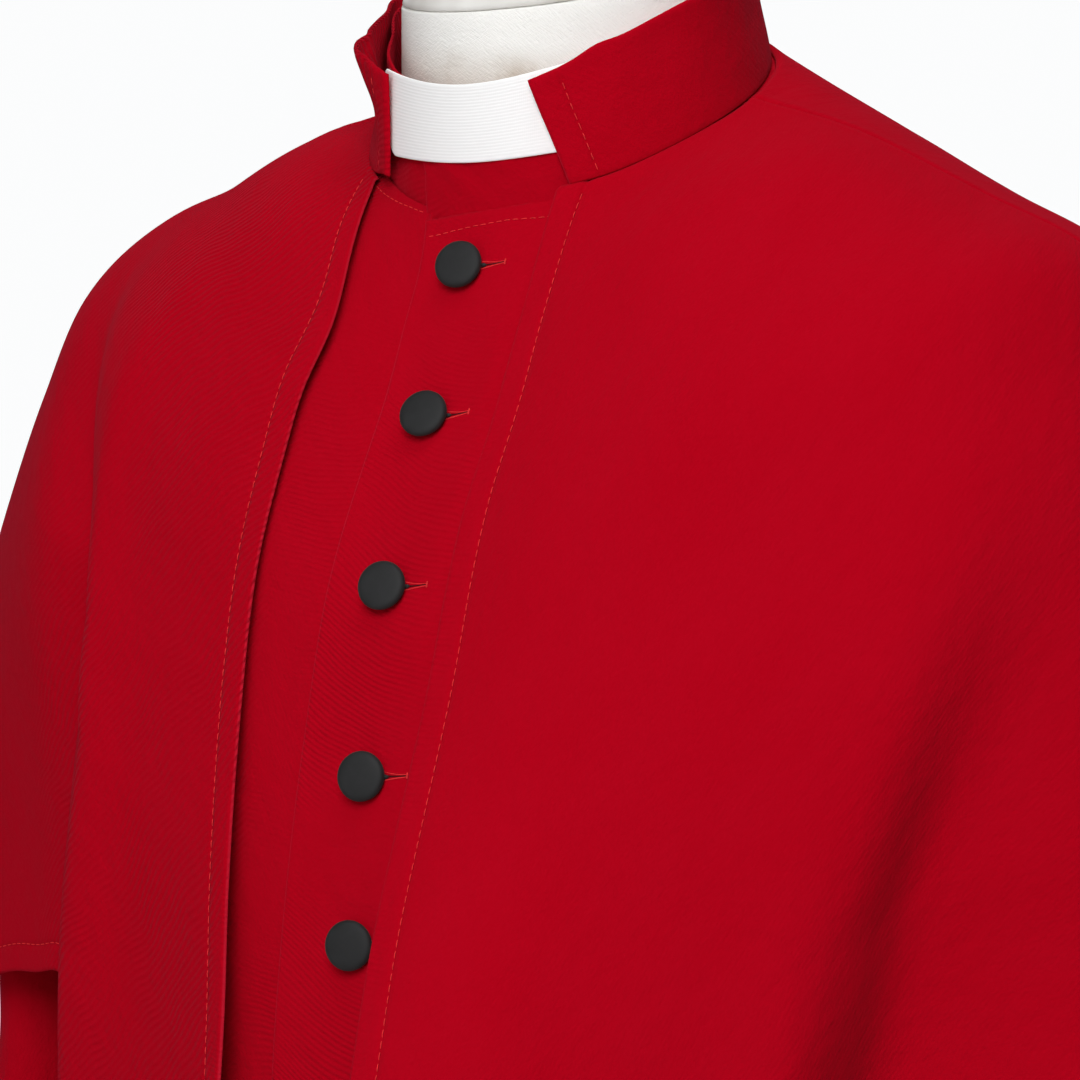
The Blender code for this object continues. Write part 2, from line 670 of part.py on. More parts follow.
def main():
    for leftover in list(bpy.data.objects):
        bpy.data.objects.remove(leftover)
    red = material("red_gabardine", (0.40, 0.002, 0.012), 0.75)
    white = material("white_tab", (0.9, 0.9, 0.92), 0.6)
    black = material("button_black", (0.02, 0.02, 0.02), 0.6)
    linen = material("form_cover", (0.82, 0.80, 0.76), 0.9)
    cap = material("form_cap", (0.78, 0.75, 0.71), 0.85)
    metal = material("stand_metal", (0.55, 0.55, 0.56), 0.35)
    middle_line = make_fronts(red)
    make_back(red)
    make_sleeves(red)
    make_cape(red)
    make_collar(red)
    make_neck_band(red)
    make_tab(white)
    make_buttons(middle_line, black)
    make_form(linen, cap, metal)


main()
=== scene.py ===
"""A red clerical cassock with its shoulder cape, hung on a limbless dress form.

Every cloth is a function of two things: an angle round the neck's axis (0 at the
front, 90 degrees at the wearer's left) and a path, the distance down from the
neckline.  Tables of rings give its size, and tables of folds its drape.
"""

import math
from collections import namedtuple
from functools import partial

import bpy
import numpy as np
from bpy.props import FloatProperty, FloatVectorProperty, IntProperty, PointerProperty
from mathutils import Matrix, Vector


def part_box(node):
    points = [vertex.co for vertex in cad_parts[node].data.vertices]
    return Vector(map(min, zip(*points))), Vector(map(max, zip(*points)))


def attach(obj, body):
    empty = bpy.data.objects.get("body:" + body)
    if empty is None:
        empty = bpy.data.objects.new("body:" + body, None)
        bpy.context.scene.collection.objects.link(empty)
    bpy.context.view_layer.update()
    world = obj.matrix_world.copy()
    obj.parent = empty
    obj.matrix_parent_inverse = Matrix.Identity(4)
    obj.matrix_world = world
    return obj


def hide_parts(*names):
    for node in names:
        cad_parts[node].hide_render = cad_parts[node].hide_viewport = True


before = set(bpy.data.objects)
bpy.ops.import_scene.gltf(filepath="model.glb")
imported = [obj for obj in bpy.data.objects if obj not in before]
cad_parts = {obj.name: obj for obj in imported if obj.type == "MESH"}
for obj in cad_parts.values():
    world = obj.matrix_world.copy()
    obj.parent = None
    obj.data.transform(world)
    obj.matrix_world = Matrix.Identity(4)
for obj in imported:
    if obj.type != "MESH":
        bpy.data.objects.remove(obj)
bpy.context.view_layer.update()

bl_info = {
    "name": "Cassock with shoulder cape",
    "version": (1, 0, 0),
    "blender": (4, 5, 0),
    "location": "3D View > Sidebar > Cassock",
    "description": "Makes a clerical cassock with its cape, stitches, buttons and dress form",
    "category": "Add Mesh",
}

# Lengths are in metres and angles in degrees, but the tables' lengths are in mm.
MM = 0.001
NECK_PIT_HEIGHT = 1.448
BUTTON_COUNT = 15
BUTTON_SPACING = 62 * MM
BUTTON_SHIFTS = (1.5, -3, -1, 3, -1)
BUTTON_TILT = 12.0
FIRST_BUTTON_DROP = 20 * MM
THREAD_SUNK = 0.12 * MM
RIGHT_FRONT_EDGE_X = 20 * MM
SKIRT_HEM_PATH = 1.42
CAPE_NECK_PATH = 2.2 * MM
CAPE_TUCK_PATH = 0.3 * MM
CAPE_HEM_PATH = 0.44
ARMHOLE_TOP_PATH = 0.145
ARMHOLE_FOOT_PATH = 0.290
ARMHOLE_HALF_ANGLE = 23.0
ARMHOLE_STEPS = 8
SLEEVE_LENGTH = 0.560
ARM_RADIUS = 55 * MM
COLLAR_HEIGHT = 41.5 * MM
COLLAR_INSET = 3.9 * MM
BAND_FOOT = -7 * MM
BAND_HEIGHT = 40 * MM
TAB_FOOT = 18.2 * MM
TAB_HEAD = 46 * MM
TAB_STRAIGHT = 0.6
TAB_AHEAD = 0.3 * MM
TAB_RADIUS = 65 * MM
TAB_ANGLES = (-38.5, 44.0)
BAND_CLOTH = 1.2 * MM
LAYER_GAP = 0.6 * MM
CHEST_DIP = 3.2 * MM
DIP_REACH = 18 * MM
FORM_TOP_PATH = 0.034
FORM_FOOT_PATH = 0.80
SHOULDER_REACH = 25.0
SHOULDER_CLEARANCE = 1.5 * LAYER_GAP
BODY_CLEARANCE = 3.5 * MM
YOKE_LEAN = 0.4
YOKE_PATH = 0.06

Ring = namedtuple(
    "Ring",
    "path middle half_width front back side_rise front_rise back_rise squareness",
)

CASSOCK_RINGS = [
    Ring(0, 5, 73.5, 55.5, 70, 40.5, 0, 75, 2.0),
    Ring(50, 7, 119, 71.5, 92, 23.5, -46.5, 39.5, 2.05),
    Ring(100, 10, 164, 92.5, 109, 1.5, -92.5, -6, 2.15),
    Ring(145, 12, 200, 109, 121, -18.5, -134, -50, 2.15),
    Ring(200, 13, 206, 119, 129, -66, -188, -100, 2.2),
    Ring(290, 12, 195, 129.5, 127, -148, -277, -185, 2.3),
    Ring(400, 10, 187, 132, 120, -258, -387, -293, 2.3),
    Ring(530, 6, 184, 130, 114, -388, -500, -420, 2.2),
    Ring(730, 5, 204, 147, 142, -590, -670, -612, 2.1),
    Ring(1080, 5, 258, 200, 208, -972, -1000, -982, 2.0),
    Ring(1420, 5, 312, 255, 265, -1370, -1370, -1370, 2.0),
]

CAPE_RINGS = [
    Ring(0, 5, 77.1, 60.1, 73.6, 41.5, 0, 75.5, 2.0),
    Ring(50, 7, 124, 77.5, 96, 27, -46, 43, 2.1),
    Ring(100, 10, 170, 99, 114, 5, -92, -1, 2.15),
    Ring(148, 12, 210, 115, 127, -17, -138, -48, 2.15),
    Ring(190, 14, 233, 123, 138, -52, -181, -88, 2.1),
    Ring(250, 15, 260, 131, 148, -108, -240, -146, 2.1),
    Ring(330, 16, 286, 137, 160, -186, -320, -225, 2.1),
    Ring(440, 16, 308, 142, 176, -294, -430, -334, 2.1),
]

# Where the cape's two front edges cross the chest, in mm from the middle.
Edge = namedtuple("Edge", "path left_x right_x")

CAPE_EDGES = [
    Edge(0, 33.5, -54),
    Edge(30, 33, -50),
    Edge(60, 32.5, -47.5),
    Edge(90, 32.5, -52),
    Edge(120, 29, -53),
    Edge(180, 27.5, -55),
    Edge(220, 26.7, -53.4),
    Edge(260, 26.6, -50.4),
    Edge(300, 28, -47),
    Edge(340, 28, -46),
    Edge(440, 28, -46),
]

COLLAR_RINGS = [
    Ring(0, 5, 77.1, 60.1, 73.6, 42, 0.4, 75.9, 2.0),
    Ring(15, 5, 77.1, 61.9, 73.6, 58.3, 15.2, 92.5, 2.0),
    Ring(30, 5, 76.6, 63.9, 73.4, 75, 30, 110, 2.0),
    Ring(50, 5, 75.9, 66.5, 73.1, 97.5, 50, 132.5, 2.0),
]

# The stand goes on below the seam, behind the cassock's neckline.
STAND_RINGS = [Ring(-10, 5, 77.1, 58.9, 73.6, 31, -9.6, 64.8, 2.0), *COLLAR_RINGS]

NECK_RINGS = [
    Ring(0, 4, 63.5, 56, 66, 87.5, 72.5, 102.5, 2.0),
    Ring(0, 4, 64, 55, 66, 60, 36, 84, 2.0),
    Ring(0, 5, 66.5, 51, 66, 38, 4, 71, 2.0),
]

# How the neck's seam turns in, as (share of its width, lift in mm), the cap's rings
# above it, in the same way, and the torso's rounded foot, as (drop in mm, share).
SEAM_RIMS = [(0.985, 0.0), (0.997, -0.3)]
SEAM_SUNK = 0.9 * MM
CAP_RINGS = [
    (0.30, 15.2), (0.55, 14.4), (0.76, 12.4), (0.90, 9.2), (0.965, 5.6), (0.99, 2.6),
    (0.996, 0.8), (0.985, 0.25),
]
FOOT_RIMS = [(4, 0.995), (9, 0.98), (13, 0.955), (16, 0.92)]

# The stand: the pole's radius and the base's (radius, height), in mm.
POLE_RADIUS = 16
BASE_PROFILE = [(40, 8), (182, 8), (186, 7.7), (188.6, 6.8), (189.7, 5.4), (190, 4), (190, 0)]

# A fold runs down a cloth from its start path.  Its depth at the hem is outwards
# if positive, lift is how far it raises the hem, its angle may drift on the way
# down, and a lower power has a sharper crest.
Fold = namedtuple("Fold", "angle hem_angle half_angle depth lift start full power", defaults=[2])

CAPE_FOLDS = [
    Fold(14, 10, 24, 44, 0, 130, 380),
    Fold(-64, -63, 15, -38, 0, 185, 440),
    Fold(-62.4, -42.6, 3.9, 8, 0, 31, 267, 1.5),
    Fold(-79.5, -53.6, 4.7, -14.9, 0, 63, 223),
    Fold(-58, -58, 22, 0, 46, 170, 440),
    Fold(-71, -71, 4.5, 0, -8, 250, 440),
    Fold(-59, -59, 3, 0, 8, 250, 440),
    Fold(76, 65, 17, -38, 0, 190, 440),
    Fold(77, 64, 8, -14, 0, 195, 345),
    Fold(67, 51, 8, 11, 0, 190, 400),
    Fold(58, 55, 4, -2.5, 0, 220, 330),
    Fold(28, 28, 13, 0, 2.6, -20, 0),
    Fold(28, 28, 13, 0, -2.6, 0, 45),
    Fold(-80, -80, 40, 0, 4.5, 0, 35),
    Fold(110, 110, 30, 0, -2.6, 25, 90),
    Fold(-80, -80, 40, 0, -2.5, 40, 90),
    Fold(-85, -85, 45, 0, -4.5, 130, 240),
    Fold(-88, -88, 35, 0, 5, 70, 105),
    Fold(-88, -88, 35, 0, -5, 105, 150),
    Fold(-95, -95, 25, -3, 0, 120, 170),
    Fold(-93, -93, 12, 5, 0, 220, 440),
    Fold(94, 92, 12, 5, 0, 220, 440),
    Fold(-118, -120, 14, -26, 0, 190, 440),
    Fold(118, 121, 14, -28, 0, 190, 440),
    Fold(-148, -148, 11, 9, 0, 200, 440),
    Fold(150, 148, 11, 8, 0, 200, 440),
    Fold(-168, -166, 9, -11, 0, 220, 440),
    Fold(169, 168, 9, -10, 0, 220, 440),
]

SKIRT_FOLDS = [
    Fold(24, 22, 9, 13, 0, 560, 1420),
    Fold(44, 42, 9, -16, 0, 560, 1420),
    Fold(64, 62, 9, 14, 0, 620, 1420),
    Fold(88, 86, 10, -12, 0, 680, 1420),
    Fold(112, 112, 10, 15, 0, 620, 1420),
    Fold(136, 136, 10, -17, 0, 580, 1420),
    Fold(160, 160, 10, 14, 0, 560, 1420),
    Fold(-178, -176, 9, -16, 0, 600, 1420),
    Fold(-156, -155, 9, 15, 0, 560, 1420),
    Fold(-134, -134, 10, -16, 0, 600, 1420),
    Fold(-110, -110, 10, 14, 0, 640, 1420),
    Fold(-87, -86, 10, -12, 0, 680, 1420),
    Fold(-64, -62, 9, 15, 0, 600, 1420),
    Fold(-43, -42, 9, -15, 0, 560, 1420),
    Fold(-24, -23, 8, 11, 0, 560, 1420),
]

# The stand and the collar are both pinched in beside the right end, and only the
# outer collar flares above it.
NECK_PINCH = [Fold(-62, -62, 12, -4, 0, 0, 14), Fold(118, 118, 45, -5.5, 0, 0, 41)]

COLLAR_FOLDS = NECK_PINCH + [
    Fold(118, 118, 45, -4.5, 0, -30, 20),
    Fold(40, 40, 5, 0, 1.5, 30, 41.5),
    Fold(-76, -76, 7, -3, 0, 18, 42),
    Fold(-60, -58, 2.6, -1.7, 0, 22, 42),
    Fold(-46, -43, 2.2, -0.9, 0, 0, 30),
    Fold(-38, -38, 10, 0, 5.5, -20, 0),
    Fold(-38, -38, 10, 0, -5.5, 0, 41),
    Fold(28, 28, 13, 0, 2.6, -20, 0),
    Fold(28, 28, 13, 0, -2.6, 0, 41),
    Fold(-52, -52, 13, 7, 0, 20, 43),
    Fold(-100, -100, 10, -3, 0, 15, 45),
]

BAND_WRINKLES = [
    Fold(-36, -22, 3.5, 1.5, 0, 0, 22),
    Fold(-43, -33, 3, -1.3, 0, 0, 20),
    Fold(-30, -14, 2.6, -0.9, 0, 2, 20),
    Fold(8, -16, 2.6, 0.9, 0, -4, 22),
    Fold(16, -6, 2.4, -0.8, 0, -4, 22),
    Fold(30, 8, 2.8, 0.8, 0, -4, 22),
]

# Where the collar's ends cross the front, in mm, at its foot and at its head.
COLLAR_LEFT_END = (37, 25.5)
COLLAR_RIGHT_END = (-42, -37.5)

# Where the left front's edge runs over the right front, as (path, x) in mm.
LEFT_FRONT_EDGE = [(0, -20), (24, -19), (48, -20.5), (80, -20.5), (115, -23), (1420, -23)]
BAND_LEFT_END_X = -24 * MM

# How far each front's neckline dips below its ring, and how far down its stitches
# lie, as (angle, mm).
LEFT_NECKLINE = [
    (-19, 5.6), (-14, 3.6), (-8, 1.5), (-2, 0.2), (2, -0.6), (8, -2.2), (14, -3.7), (20, -2.8),
    (26, -1.3), (32, 0.3), (40, 0.6),
]
RIGHT_NECKLINE = [(-60, -4), (-45, -6), (-30, -9.2), (-21, -10.2), (-17, 9)]
NECK_STITCHES = [
    (-88, 9), (-60, 8), (-45, 6.2), (-30, 3.4), (-21, 2.8), (-19, 13.4), (-14, 11.2), (-10, 9.4),
    (-6, 7.8), (-2, 6.6), (2, 5.8), (8, 5.3), (14, 5.4), (20, 6.4), (26, 8), (32, 10),
]

# Shallow waves of hung cloth: turns round the neck, waves per metre of path, a
# phase in radians and a depth in mm.
Wave = namedtuple("Wave", "turns per_metre phase depth")

CAPE_WAVES = [
    Wave(7, 3.1, 0.4, 0.5),
    Wave(-11, 4.7, 2.1, 0.35),
    Wave(17, 2.3, 4.0, 0.3),
    Wave(5, -6.1, 1.3, 0.3),
    Wave(23, 5.9, 5.2, 0.18),
]

BODY_WAVES = [
    Wave(6, 3.7, 1.9, 0.35),
    Wave(-13, 5.3, 0.6, 0.2),
    Wave(19, -2.9, 3.3, 0.2),
    Wave(9, 7.7, 5.0, 0.2),
]

COLLAR_WAVES = [Wave(9, 6, 0.7, 0.25), Wave(16, -9, 2.9, 0.15)]

# Paths in mm at which the front's middle line is measured below the armholes.
SKIRT_STEPS = (340, 400, 465, 530, 625, 730, 850, 970, 1090, 1200, 1310, 1420)

# A button's outline from its middle to its shank, as (share of its radius, mm).
BUTTON_PROFILE = [
    (0.10, 6.05), (0.30, 6.02), (0.50, 5.93), (0.68, 5.78), (0.80, 5.60), (0.88, 5.35),
    (0.94, 5.0), (0.98, 4.55), (1, 4.0), (0.985, 3.4), (0.93, 2.9), (0.80, 2.6), (0.36, 2.3),
    (0.30, 1.8), (0.30, 0.5),
]

# rises is true where the path runs up from the neckline, as on a collar.
Cloth = namedtuple("Cloth", "rings folds waves still_path rises")
CASSOCK = Cloth(CASSOCK_RINGS, SKIRT_FOLDS, BODY_WAVES, 0.06, False)
CAPE = Cloth(CAPE_RINGS, CAPE_FOLDS, CAPE_WAVES, 0.05, False)
COLLAR = Cloth(COLLAR_RINGS, COLLAR_FOLDS, COLLAR_WAVES, 0.02, True)
STAND = Cloth(STAND_RINGS, NECK_PINCH + BAND_WRINKLES, [], 0.02, True)
TAB_STAND = STAND._replace(folds=NECK_PINCH)

# Each row is one section of the hanging sleeve: its middle, the angle by which it
# is turned from upright towards level, and its half sizes.
Section = namedtuple("Section", "along middle_x middle_y rise turn half_out half_deep")

SLEEVE_SECTIONS = [
    Section(20, 206.5, 12, -92.5, 7, 57, 63.8),
    Section(48, 214.5, 12, -108.5, 15, 46, 59),
    Section(80, 221, 12, -130, 28, 33.5, 56),
    Section(110, 226, 12, -164, 55, 24, 56),
    Section(155, 228.5, 11, -203, 82, 21, 55),
    Section(290, 232, 8, -330, 90, 22.5, 54),
    Section(420, 241, 3, -455, 90, 24, 54),
    Section(560, 255, -2, -600, 90, 24, 54),
]


# ---------------------------------------------------------------- settings
def length_property(name, description, default):
    return FloatProperty(name=name, description=description, default=default, unit="LENGTH")


class CassockSizes(bpy.types.PropertyGroup):
    """Sizes of the cloth, the stitches and the buttons."""

    cloth: length_property("Cloth", "Thickness of the cloth", 0.0015)
    collar_cloth: length_property("Collar", "Thickness of the outer collar", 0.0018)
    tab_cloth: length_property("Tab", "Thickness of the white tab", 0.0011)
    stitch_inset: length_property("Stitch inset", "From an edge to its row of stitches", 0.011)
    stitch_length: length_property("Stitch", "Length of one stitch", 0.0026)
    stitch_pitch: length_property("Stitch pitch", "From one stitch to the next", 0.0038)
    thread_radius: length_property("Thread", "Radius of the sewing thread", 0.00019)
    button_radius: length_property("Button", "Radius of a button", 0.0088)
    button_sides: IntProperty(
        name="Button sides", description="Facets round a button", default=48, min=12
    )


def colour_property(name, description, default):
    return FloatVectorProperty(
        name=name, description=description, default=default, subtype="COLOR", size=3, min=0, max=1
    )


class CassockColours(bpy.types.PropertyGroup):
    """Colours of the cloth, the thread and the form."""

    cloth: colour_property("Cloth", "Red of the cassock", (0.415, 0.0006, 0.0084))
    nap: colour_property("Nap", "Red of the worn nap", (0.435, 0.0020, 0.0120))
    # Painted highlight: the paler red laid along the cloth's side edges, where they catch the
    # light.
    edge_highlight: colour_property("Pressed edge", "Paler red of rubbed edges", (0.62, 0.018, 0.045))
    thread: colour_property("Thread", "Orange red of the topstitching", (0.88, 0.036, 0.042))
    tab: colour_property("Tab", "White of the collar tab", (0.985, 0.99, 0.99))
    button: colour_property("Button", "Black of the buttons", (0.0076, 0.0080, 0.0086))
    linen: colour_property("Form cover", "Off-white of the form", (0.915, 0.905, 0.875))
    soil: colour_property("Soiling", "Brown of the rubbed neck", (0.50, 0.40, 0.31))
    metal: colour_property("Stand", "Grey of the pole and base", (0.42, 0.42, 0.43))


def sizes():
    return bpy.context.scene.cassock_sizes


def colours():
    return bpy.context.scene.cassock_colours


# ---------------------------------------------------------------- shader maths
def overloads(operation):
    """The plain and the reflected form of one operator on Terms."""
    return (
        lambda term, other: term.math(operation, term, other),
        lambda term, other: term.math(operation, other, term),
    )


class Term:
    """A shader value that takes part in Python arithmetic, one Math node a step."""

    def __init__(self, nodes, socket):
        self.nodes = nodes
        self.socket = socket

    def math(self, operation, *values):
        node = self.nodes.add("ShaderNodeMath", {"operation": operation}, dict(enumerate(values)))
        return Term(self.nodes, node.outputs[0])

    __add__, __radd__ = overloads("ADD")
    __sub__, __rsub__ = overloads("SUBTRACT")
    __mul__, __rmul__ = overloads("MULTIPLY")

    def sine(self):
        return self.math("SINE", self)

    def smooth(self, low, high):
        """0 below low, 1 above high and a smooth step between."""
        values = {"Value": self, "From Min": low, "From Max": high}
        settings = {"interpolation_type": "SMOOTHSTEP"}
        node = self.nodes.add("ShaderNodeMapRange", settings, values)
        return Term(self.nodes, node.outputs["Result"])


class Nodes:
    """The nodes of a material or a world."""

    def __init__(self, tree):
        self.tree = tree

    def join(self, socket, value):
        """Sets a socket to a number or a colour, or links it."""
        if isinstance(value, Term):
            self.tree.links.new(value.socket, socket)
        else:
            socket.default_value = value

    def add(self, kind, settings=None, values=None):
        """A node of this kind, its settings first, then its sockets by name or number."""
        node = self.tree.nodes.new(kind)
        for name, value in (settings or {}).items():
            setattr(node, name, value)
        for name, value in (values or {}).items():
            self.join(node.inputs[name], value)
        return node

    def seen(self):
        """1 where the camera looks straight at it, and 0 for light that falls on it."""
        return Term(self, self.add("ShaderNodeLightPath").outputs["Is Camera Ray"])


class Look(Nodes):
    """One material while it is made."""

    def __init__(self, name, **constants):
        self.material = bpy.data.materials.new(name)
        self.material.use_nodes = True
        super().__init__(self.material.node_tree)
        self.shader = self.tree.nodes["Principled BSDF"]
        for socket, value in constants.items():
            self.shader.inputs[socket.replace("_", " ")].default_value = value

    def place(self):
        """Object coordinates, in metres."""
        return Term(self, self.add("ShaderNodeTexCoord").outputs["Object"])

    def cloth_place(self):
        """The cloth's own map, in metres across and down it."""
        return Term(self, self.add("ShaderNodeUVMap", {"uv_map": "cloth"}).outputs["UV"])

    def parts(self, vector):
        node = self.add("ShaderNodeSeparateXYZ", None, {0: vector})
        return [Term(self, socket) for socket in node.outputs]

    def drawn_out(self, vector, turn, scale):
        """A vector turned in the plane of the form's left front and scaled, for brush strokes."""
        shrink = tuple(1 / part for part in scale)
        values = {"Vector": vector, "Rotation": (0, turn, LEFT_FRONT_TURN), "Scale": shrink}
        node = self.add("ShaderNodeMapping", {"vector_type": "TEXTURE"}, values)
        return Term(self, node.outputs[0])

    def noise(self, vector, scale, detail=2.0, rough=0.5):
        values = {"Vector": vector, "Scale": scale, "Detail": detail, "Roughness": rough}
        return Term(self, self.add("ShaderNodeTexNoise", None, values).outputs["Fac"])

    def mix(self, share, first, second):
        """A colour between two, by a share."""
        values = {"Factor": share, 6: rgba(first), 7: rgba(second)}
        return Term(self, self.add("ShaderNodeMix", {"data_type": "RGBA"}, values).outputs[2])

    def bump(self, height, distance):
        node = self.add("ShaderNodeBump", None, {"Height": height, "Distance": distance})
        self.tree.links.new(node.outputs[0], self.shader.inputs["Normal"])

    def colour(self, value):
        self.join(self.shader.inputs["Base Color"], value)

    def roughness(self, value):
        self.join(self.shader.inputs["Roughness"], value)


def rgba(value):
    if isinstance(value, Term):
        return value
    return (*value, 1) if len(value) == 3 else value


# The cloth's ripples, in radians for each metre of its map, and how far they wander.
LEVEL_RIPPLES, SLANTED_RIPPLES, CROSSED_RIPPLES, TWILL = 3200, 2950, 2700, 6900
RIPPLE_WANDER, CROSSED_WANDER = 52, 44

# The other finishes' ribs, threads and brush marks, in radians per metre.
TAB_RIBS, TAB_THREADS, BUTTON_WEAVE, THREAD_PLIES, BRUSH_MARKS = 5600, 9000, 16000, 14000, 5200

# How far east of the middle, in metres, the ripples turn from level to slanted, and
# where they fade out at the wearer's left and right.
RIPPLES_TURN = (-0.047, -0.056)
RIPPLES_LEFT = (0.045, 0.02)
RIPPLES_RIGHT = (-0.195, -0.155)

# Collars soil the form's neck between these heights, in metres, and the brush
# strokes of its cover lie in a plane turned to the left front.
RUBBED_HEIGHTS = (1.520, 1.502)
LEFT_FRONT_TURN = math.radians(34)


def cloth_look():
    """Fine matt twill: ripples that wander in patches, a slight nap, and a painted highlight along
    its side edges.

    Each set of ripples is sin(direction . place * radians per metre + wander * noise).
    """
    look = Look("red_gabardine", Specular_IOR_Level=0.0, Sheen_Weight=0.07, Sheen_Roughness=0.5)
    look.shader.inputs["Sheen Tint"].default_value = (1.0, 0.22, 0.34, 1)
    place = look.cloth_place()
    across, down, _ = look.parts(place)
    wander = look.noise(place, 14, 2.0)
    east, _, _ = look.parts(look.place())
    level = ((down * 0.944 - across * 0.33) * LEVEL_RIPPLES + wander * RIPPLE_WANDER).sine()
    slanted = ((across * 0.80 - down * 0.60) * SLANTED_RIPPLES + wander * RIPPLE_WANDER).sine()
    crossed = ((down * 0.70 + across * 0.71) * CROSSED_RIPPLES + wander * CROSSED_WANDER).sine()
    far_side = east.smooth(*RIPPLES_TURN)
    ripples = level * (1 - far_side) * 0.65 + slanted * far_side * 1.1
    patches = (look.noise(place, 9, 1.0) + far_side * 0.10).smooth(0.38, 0.60)
    patches = patches * east.smooth(*RIPPLES_LEFT) * east.smooth(*RIPPLES_RIGHT)
    twill = ((across + down) * TWILL).sine()
    grain = look.noise(place, 900, 2.0, 0.7)
    crumple = look.noise(place, 110, 2.0, 0.55)
    blotch = look.noise(place, 22, 3.0, 0.6)
    height = ripples * patches * 1.7 + crossed * (1 - patches) * 0.22 + twill * 0.15 + grain * 2.8
    look.bump(height + crumple * 8, 0.00010)
    tone = (grain - 0.5) * 0.9 + (blotch - 0.5) * 0.6 + ripples * patches * 0.12 + 0.45
    red = look.mix(tone.smooth(0, 1), colours().cloth, colours().nap)
    # Painted highlight: a paler red within about 1.4 mm of a panel's side edge, for the light that
    # edge catches.
    edge_highlight = across.smooth(1.4 * MM, 0.4 * MM)
    look.colour(look.mix(edge_highlight * (0.35 + grain * 0.4), red, colours().edge_highlight))
    look.roughness(0.82 + grain * 0.1)
    return look.material


def thread_look(name, colour):
    """Twisted thread, with fine slanting plies."""
    look = Look(name, Specular_IOR_Level=0.2)
    east, north, up = look.parts(look.place())
    plies = ((east + north * 0.4 + up * 1.3) * THREAD_PLIES).sine()
    fuzz = look.noise(look.place(), 1500, 2.0)
    look.bump(plies * 0.5 + fuzz, 0.00006)
    look.colour(look.mix(fuzz.smooth(0.3, 0.75), colour, [0.72 * part for part in colour]))
    look.roughness(0.75)
    return look.material


def tab_look():
    """White ribbed cotton: level ribs about 1.1 mm apart that wander a little."""
    look = Look("ribbed_white_tab", Specular_IOR_Level=0.15, Sheen_Weight=0.03)
    place = look.cloth_place()
    across, down, _ = look.parts(place)
    wander = look.noise(place, 30, 1.0) * 1.6
    ribs = (down * TAB_RIBS + wander).sine()
    threads = (across * TAB_THREADS).sine()
    grain = look.noise(place, 1600, 2.0)
    look.bump(ribs * 0.25 + threads * 0.12 + grain * 0.4, 0.00006)
    shade = (ribs * 0.5 + 0.5).smooth(0.0, 0.7)
    base = [part * 0.985 for part in colours().tab]
    look.colour(look.mix(shade, base, colours().tab))
    look.roughness(0.7)
    return look.material


def button_look():
    """Matt black cloth pulled over a domed mould, a little greyer where rubbed."""
    look = Look("button_black", Specular_IOR_Level=0.35, Sheen_Weight=0.06)
    place = look.place()
    east, _, up = look.parts(place)
    weave = (east * BUTTON_WEAVE).sine() * (up * BUTTON_WEAVE).sine()
    rubbed = look.noise(place, 240, 3.0)
    look.bump(weave * 0.5 + rubbed, 0.00003)
    grey = [part * 1.5 for part in colours().button]
    look.colour(look.mix(rubbed.smooth(0.4, 0.7), colours().button, grey))
    look.roughness(0.55 + rubbed * 0.2)
    return look.material


def linen_look():
    """Off-white canvas over the form, soiled where collars rub its neck."""
    look = Look("form_canvas", Specular_IOR_Level=0.15)
    place = look.place()
    east, north, up = look.parts(place)
    strokes = look.noise(look.drawn_out(place, 0.7, (320, 320, 2600)), 1.0, 2.0)
    crossed = look.noise(look.drawn_out(place, -0.6, (320, 320, 2200)), 1.0, 2.0)
    nap = look.noise(place, 520, 3.0, 0.65)
    look.bump(strokes * 0.9 + crossed * 0.7 + nap * 0.5, 0.00035)
    rub = (up - north * 0.16 + east * 0.10).smooth(*RUBBED_HEIGHTS)
    blotch = look.noise(place, 55, 3.0, 0.6).smooth(0.42, 0.72)
    cloudy = look.noise(place, 16, 2.0)
    pale = [part * 1.04 for part in colours().linen]
    clean = look.mix(cloudy.smooth(0.3, 0.7), colours().linen, pale)
    look.colour(look.mix(rub * (0.45 + blotch * 0.5), clean, colours().soil))
    look.roughness(0.88 + nap * 0.1)
    return look.material


def cap_look():
    """The smoother, greyer canvas of the neck's cap."""
    look = Look("form_cap_canvas", Specular_IOR_Level=0.2)
    place = look.place()
    nap = look.noise(place, 500, 3.0, 0.6)
    cloudy = look.noise(place, 30, 2.0)
    look.bump(nap, 0.00012)
    grey = [part * scale for part, scale in zip(colours().linen, (0.70, 0.68, 0.66))]
    look.colour(look.mix(cloudy.smooth(0.3, 0.7), grey, colours().linen))
    look.roughness(0.8)
    return look.material


def metal_look():
    """Brushed, powder-coated steel of the stand, scuffed in places."""
    look = Look("stand_steel", Metallic=0.75)
    place = look.place()
    _, _, up = look.parts(place)
    scuffs = look.noise(place, 38, 4.0, 0.7)
    grain = look.noise(place, 700, 2.0)
    look.bump(grain + (up * BRUSH_MARKS).sine() * 0.2, 0.00003)
    worn = [part * 1.25 for part in colours().metal]
    look.colour(look.mix(scuffs.smooth(0.5, 0.75), colours().metal, worn))
    look.roughness(0.32 + scuffs * 0.25)
    return look.material


def shared_look(name, maker, *values):
    """A material that several pieces share, made once."""
    return bpy.data.materials.get(name) or maker(*values)


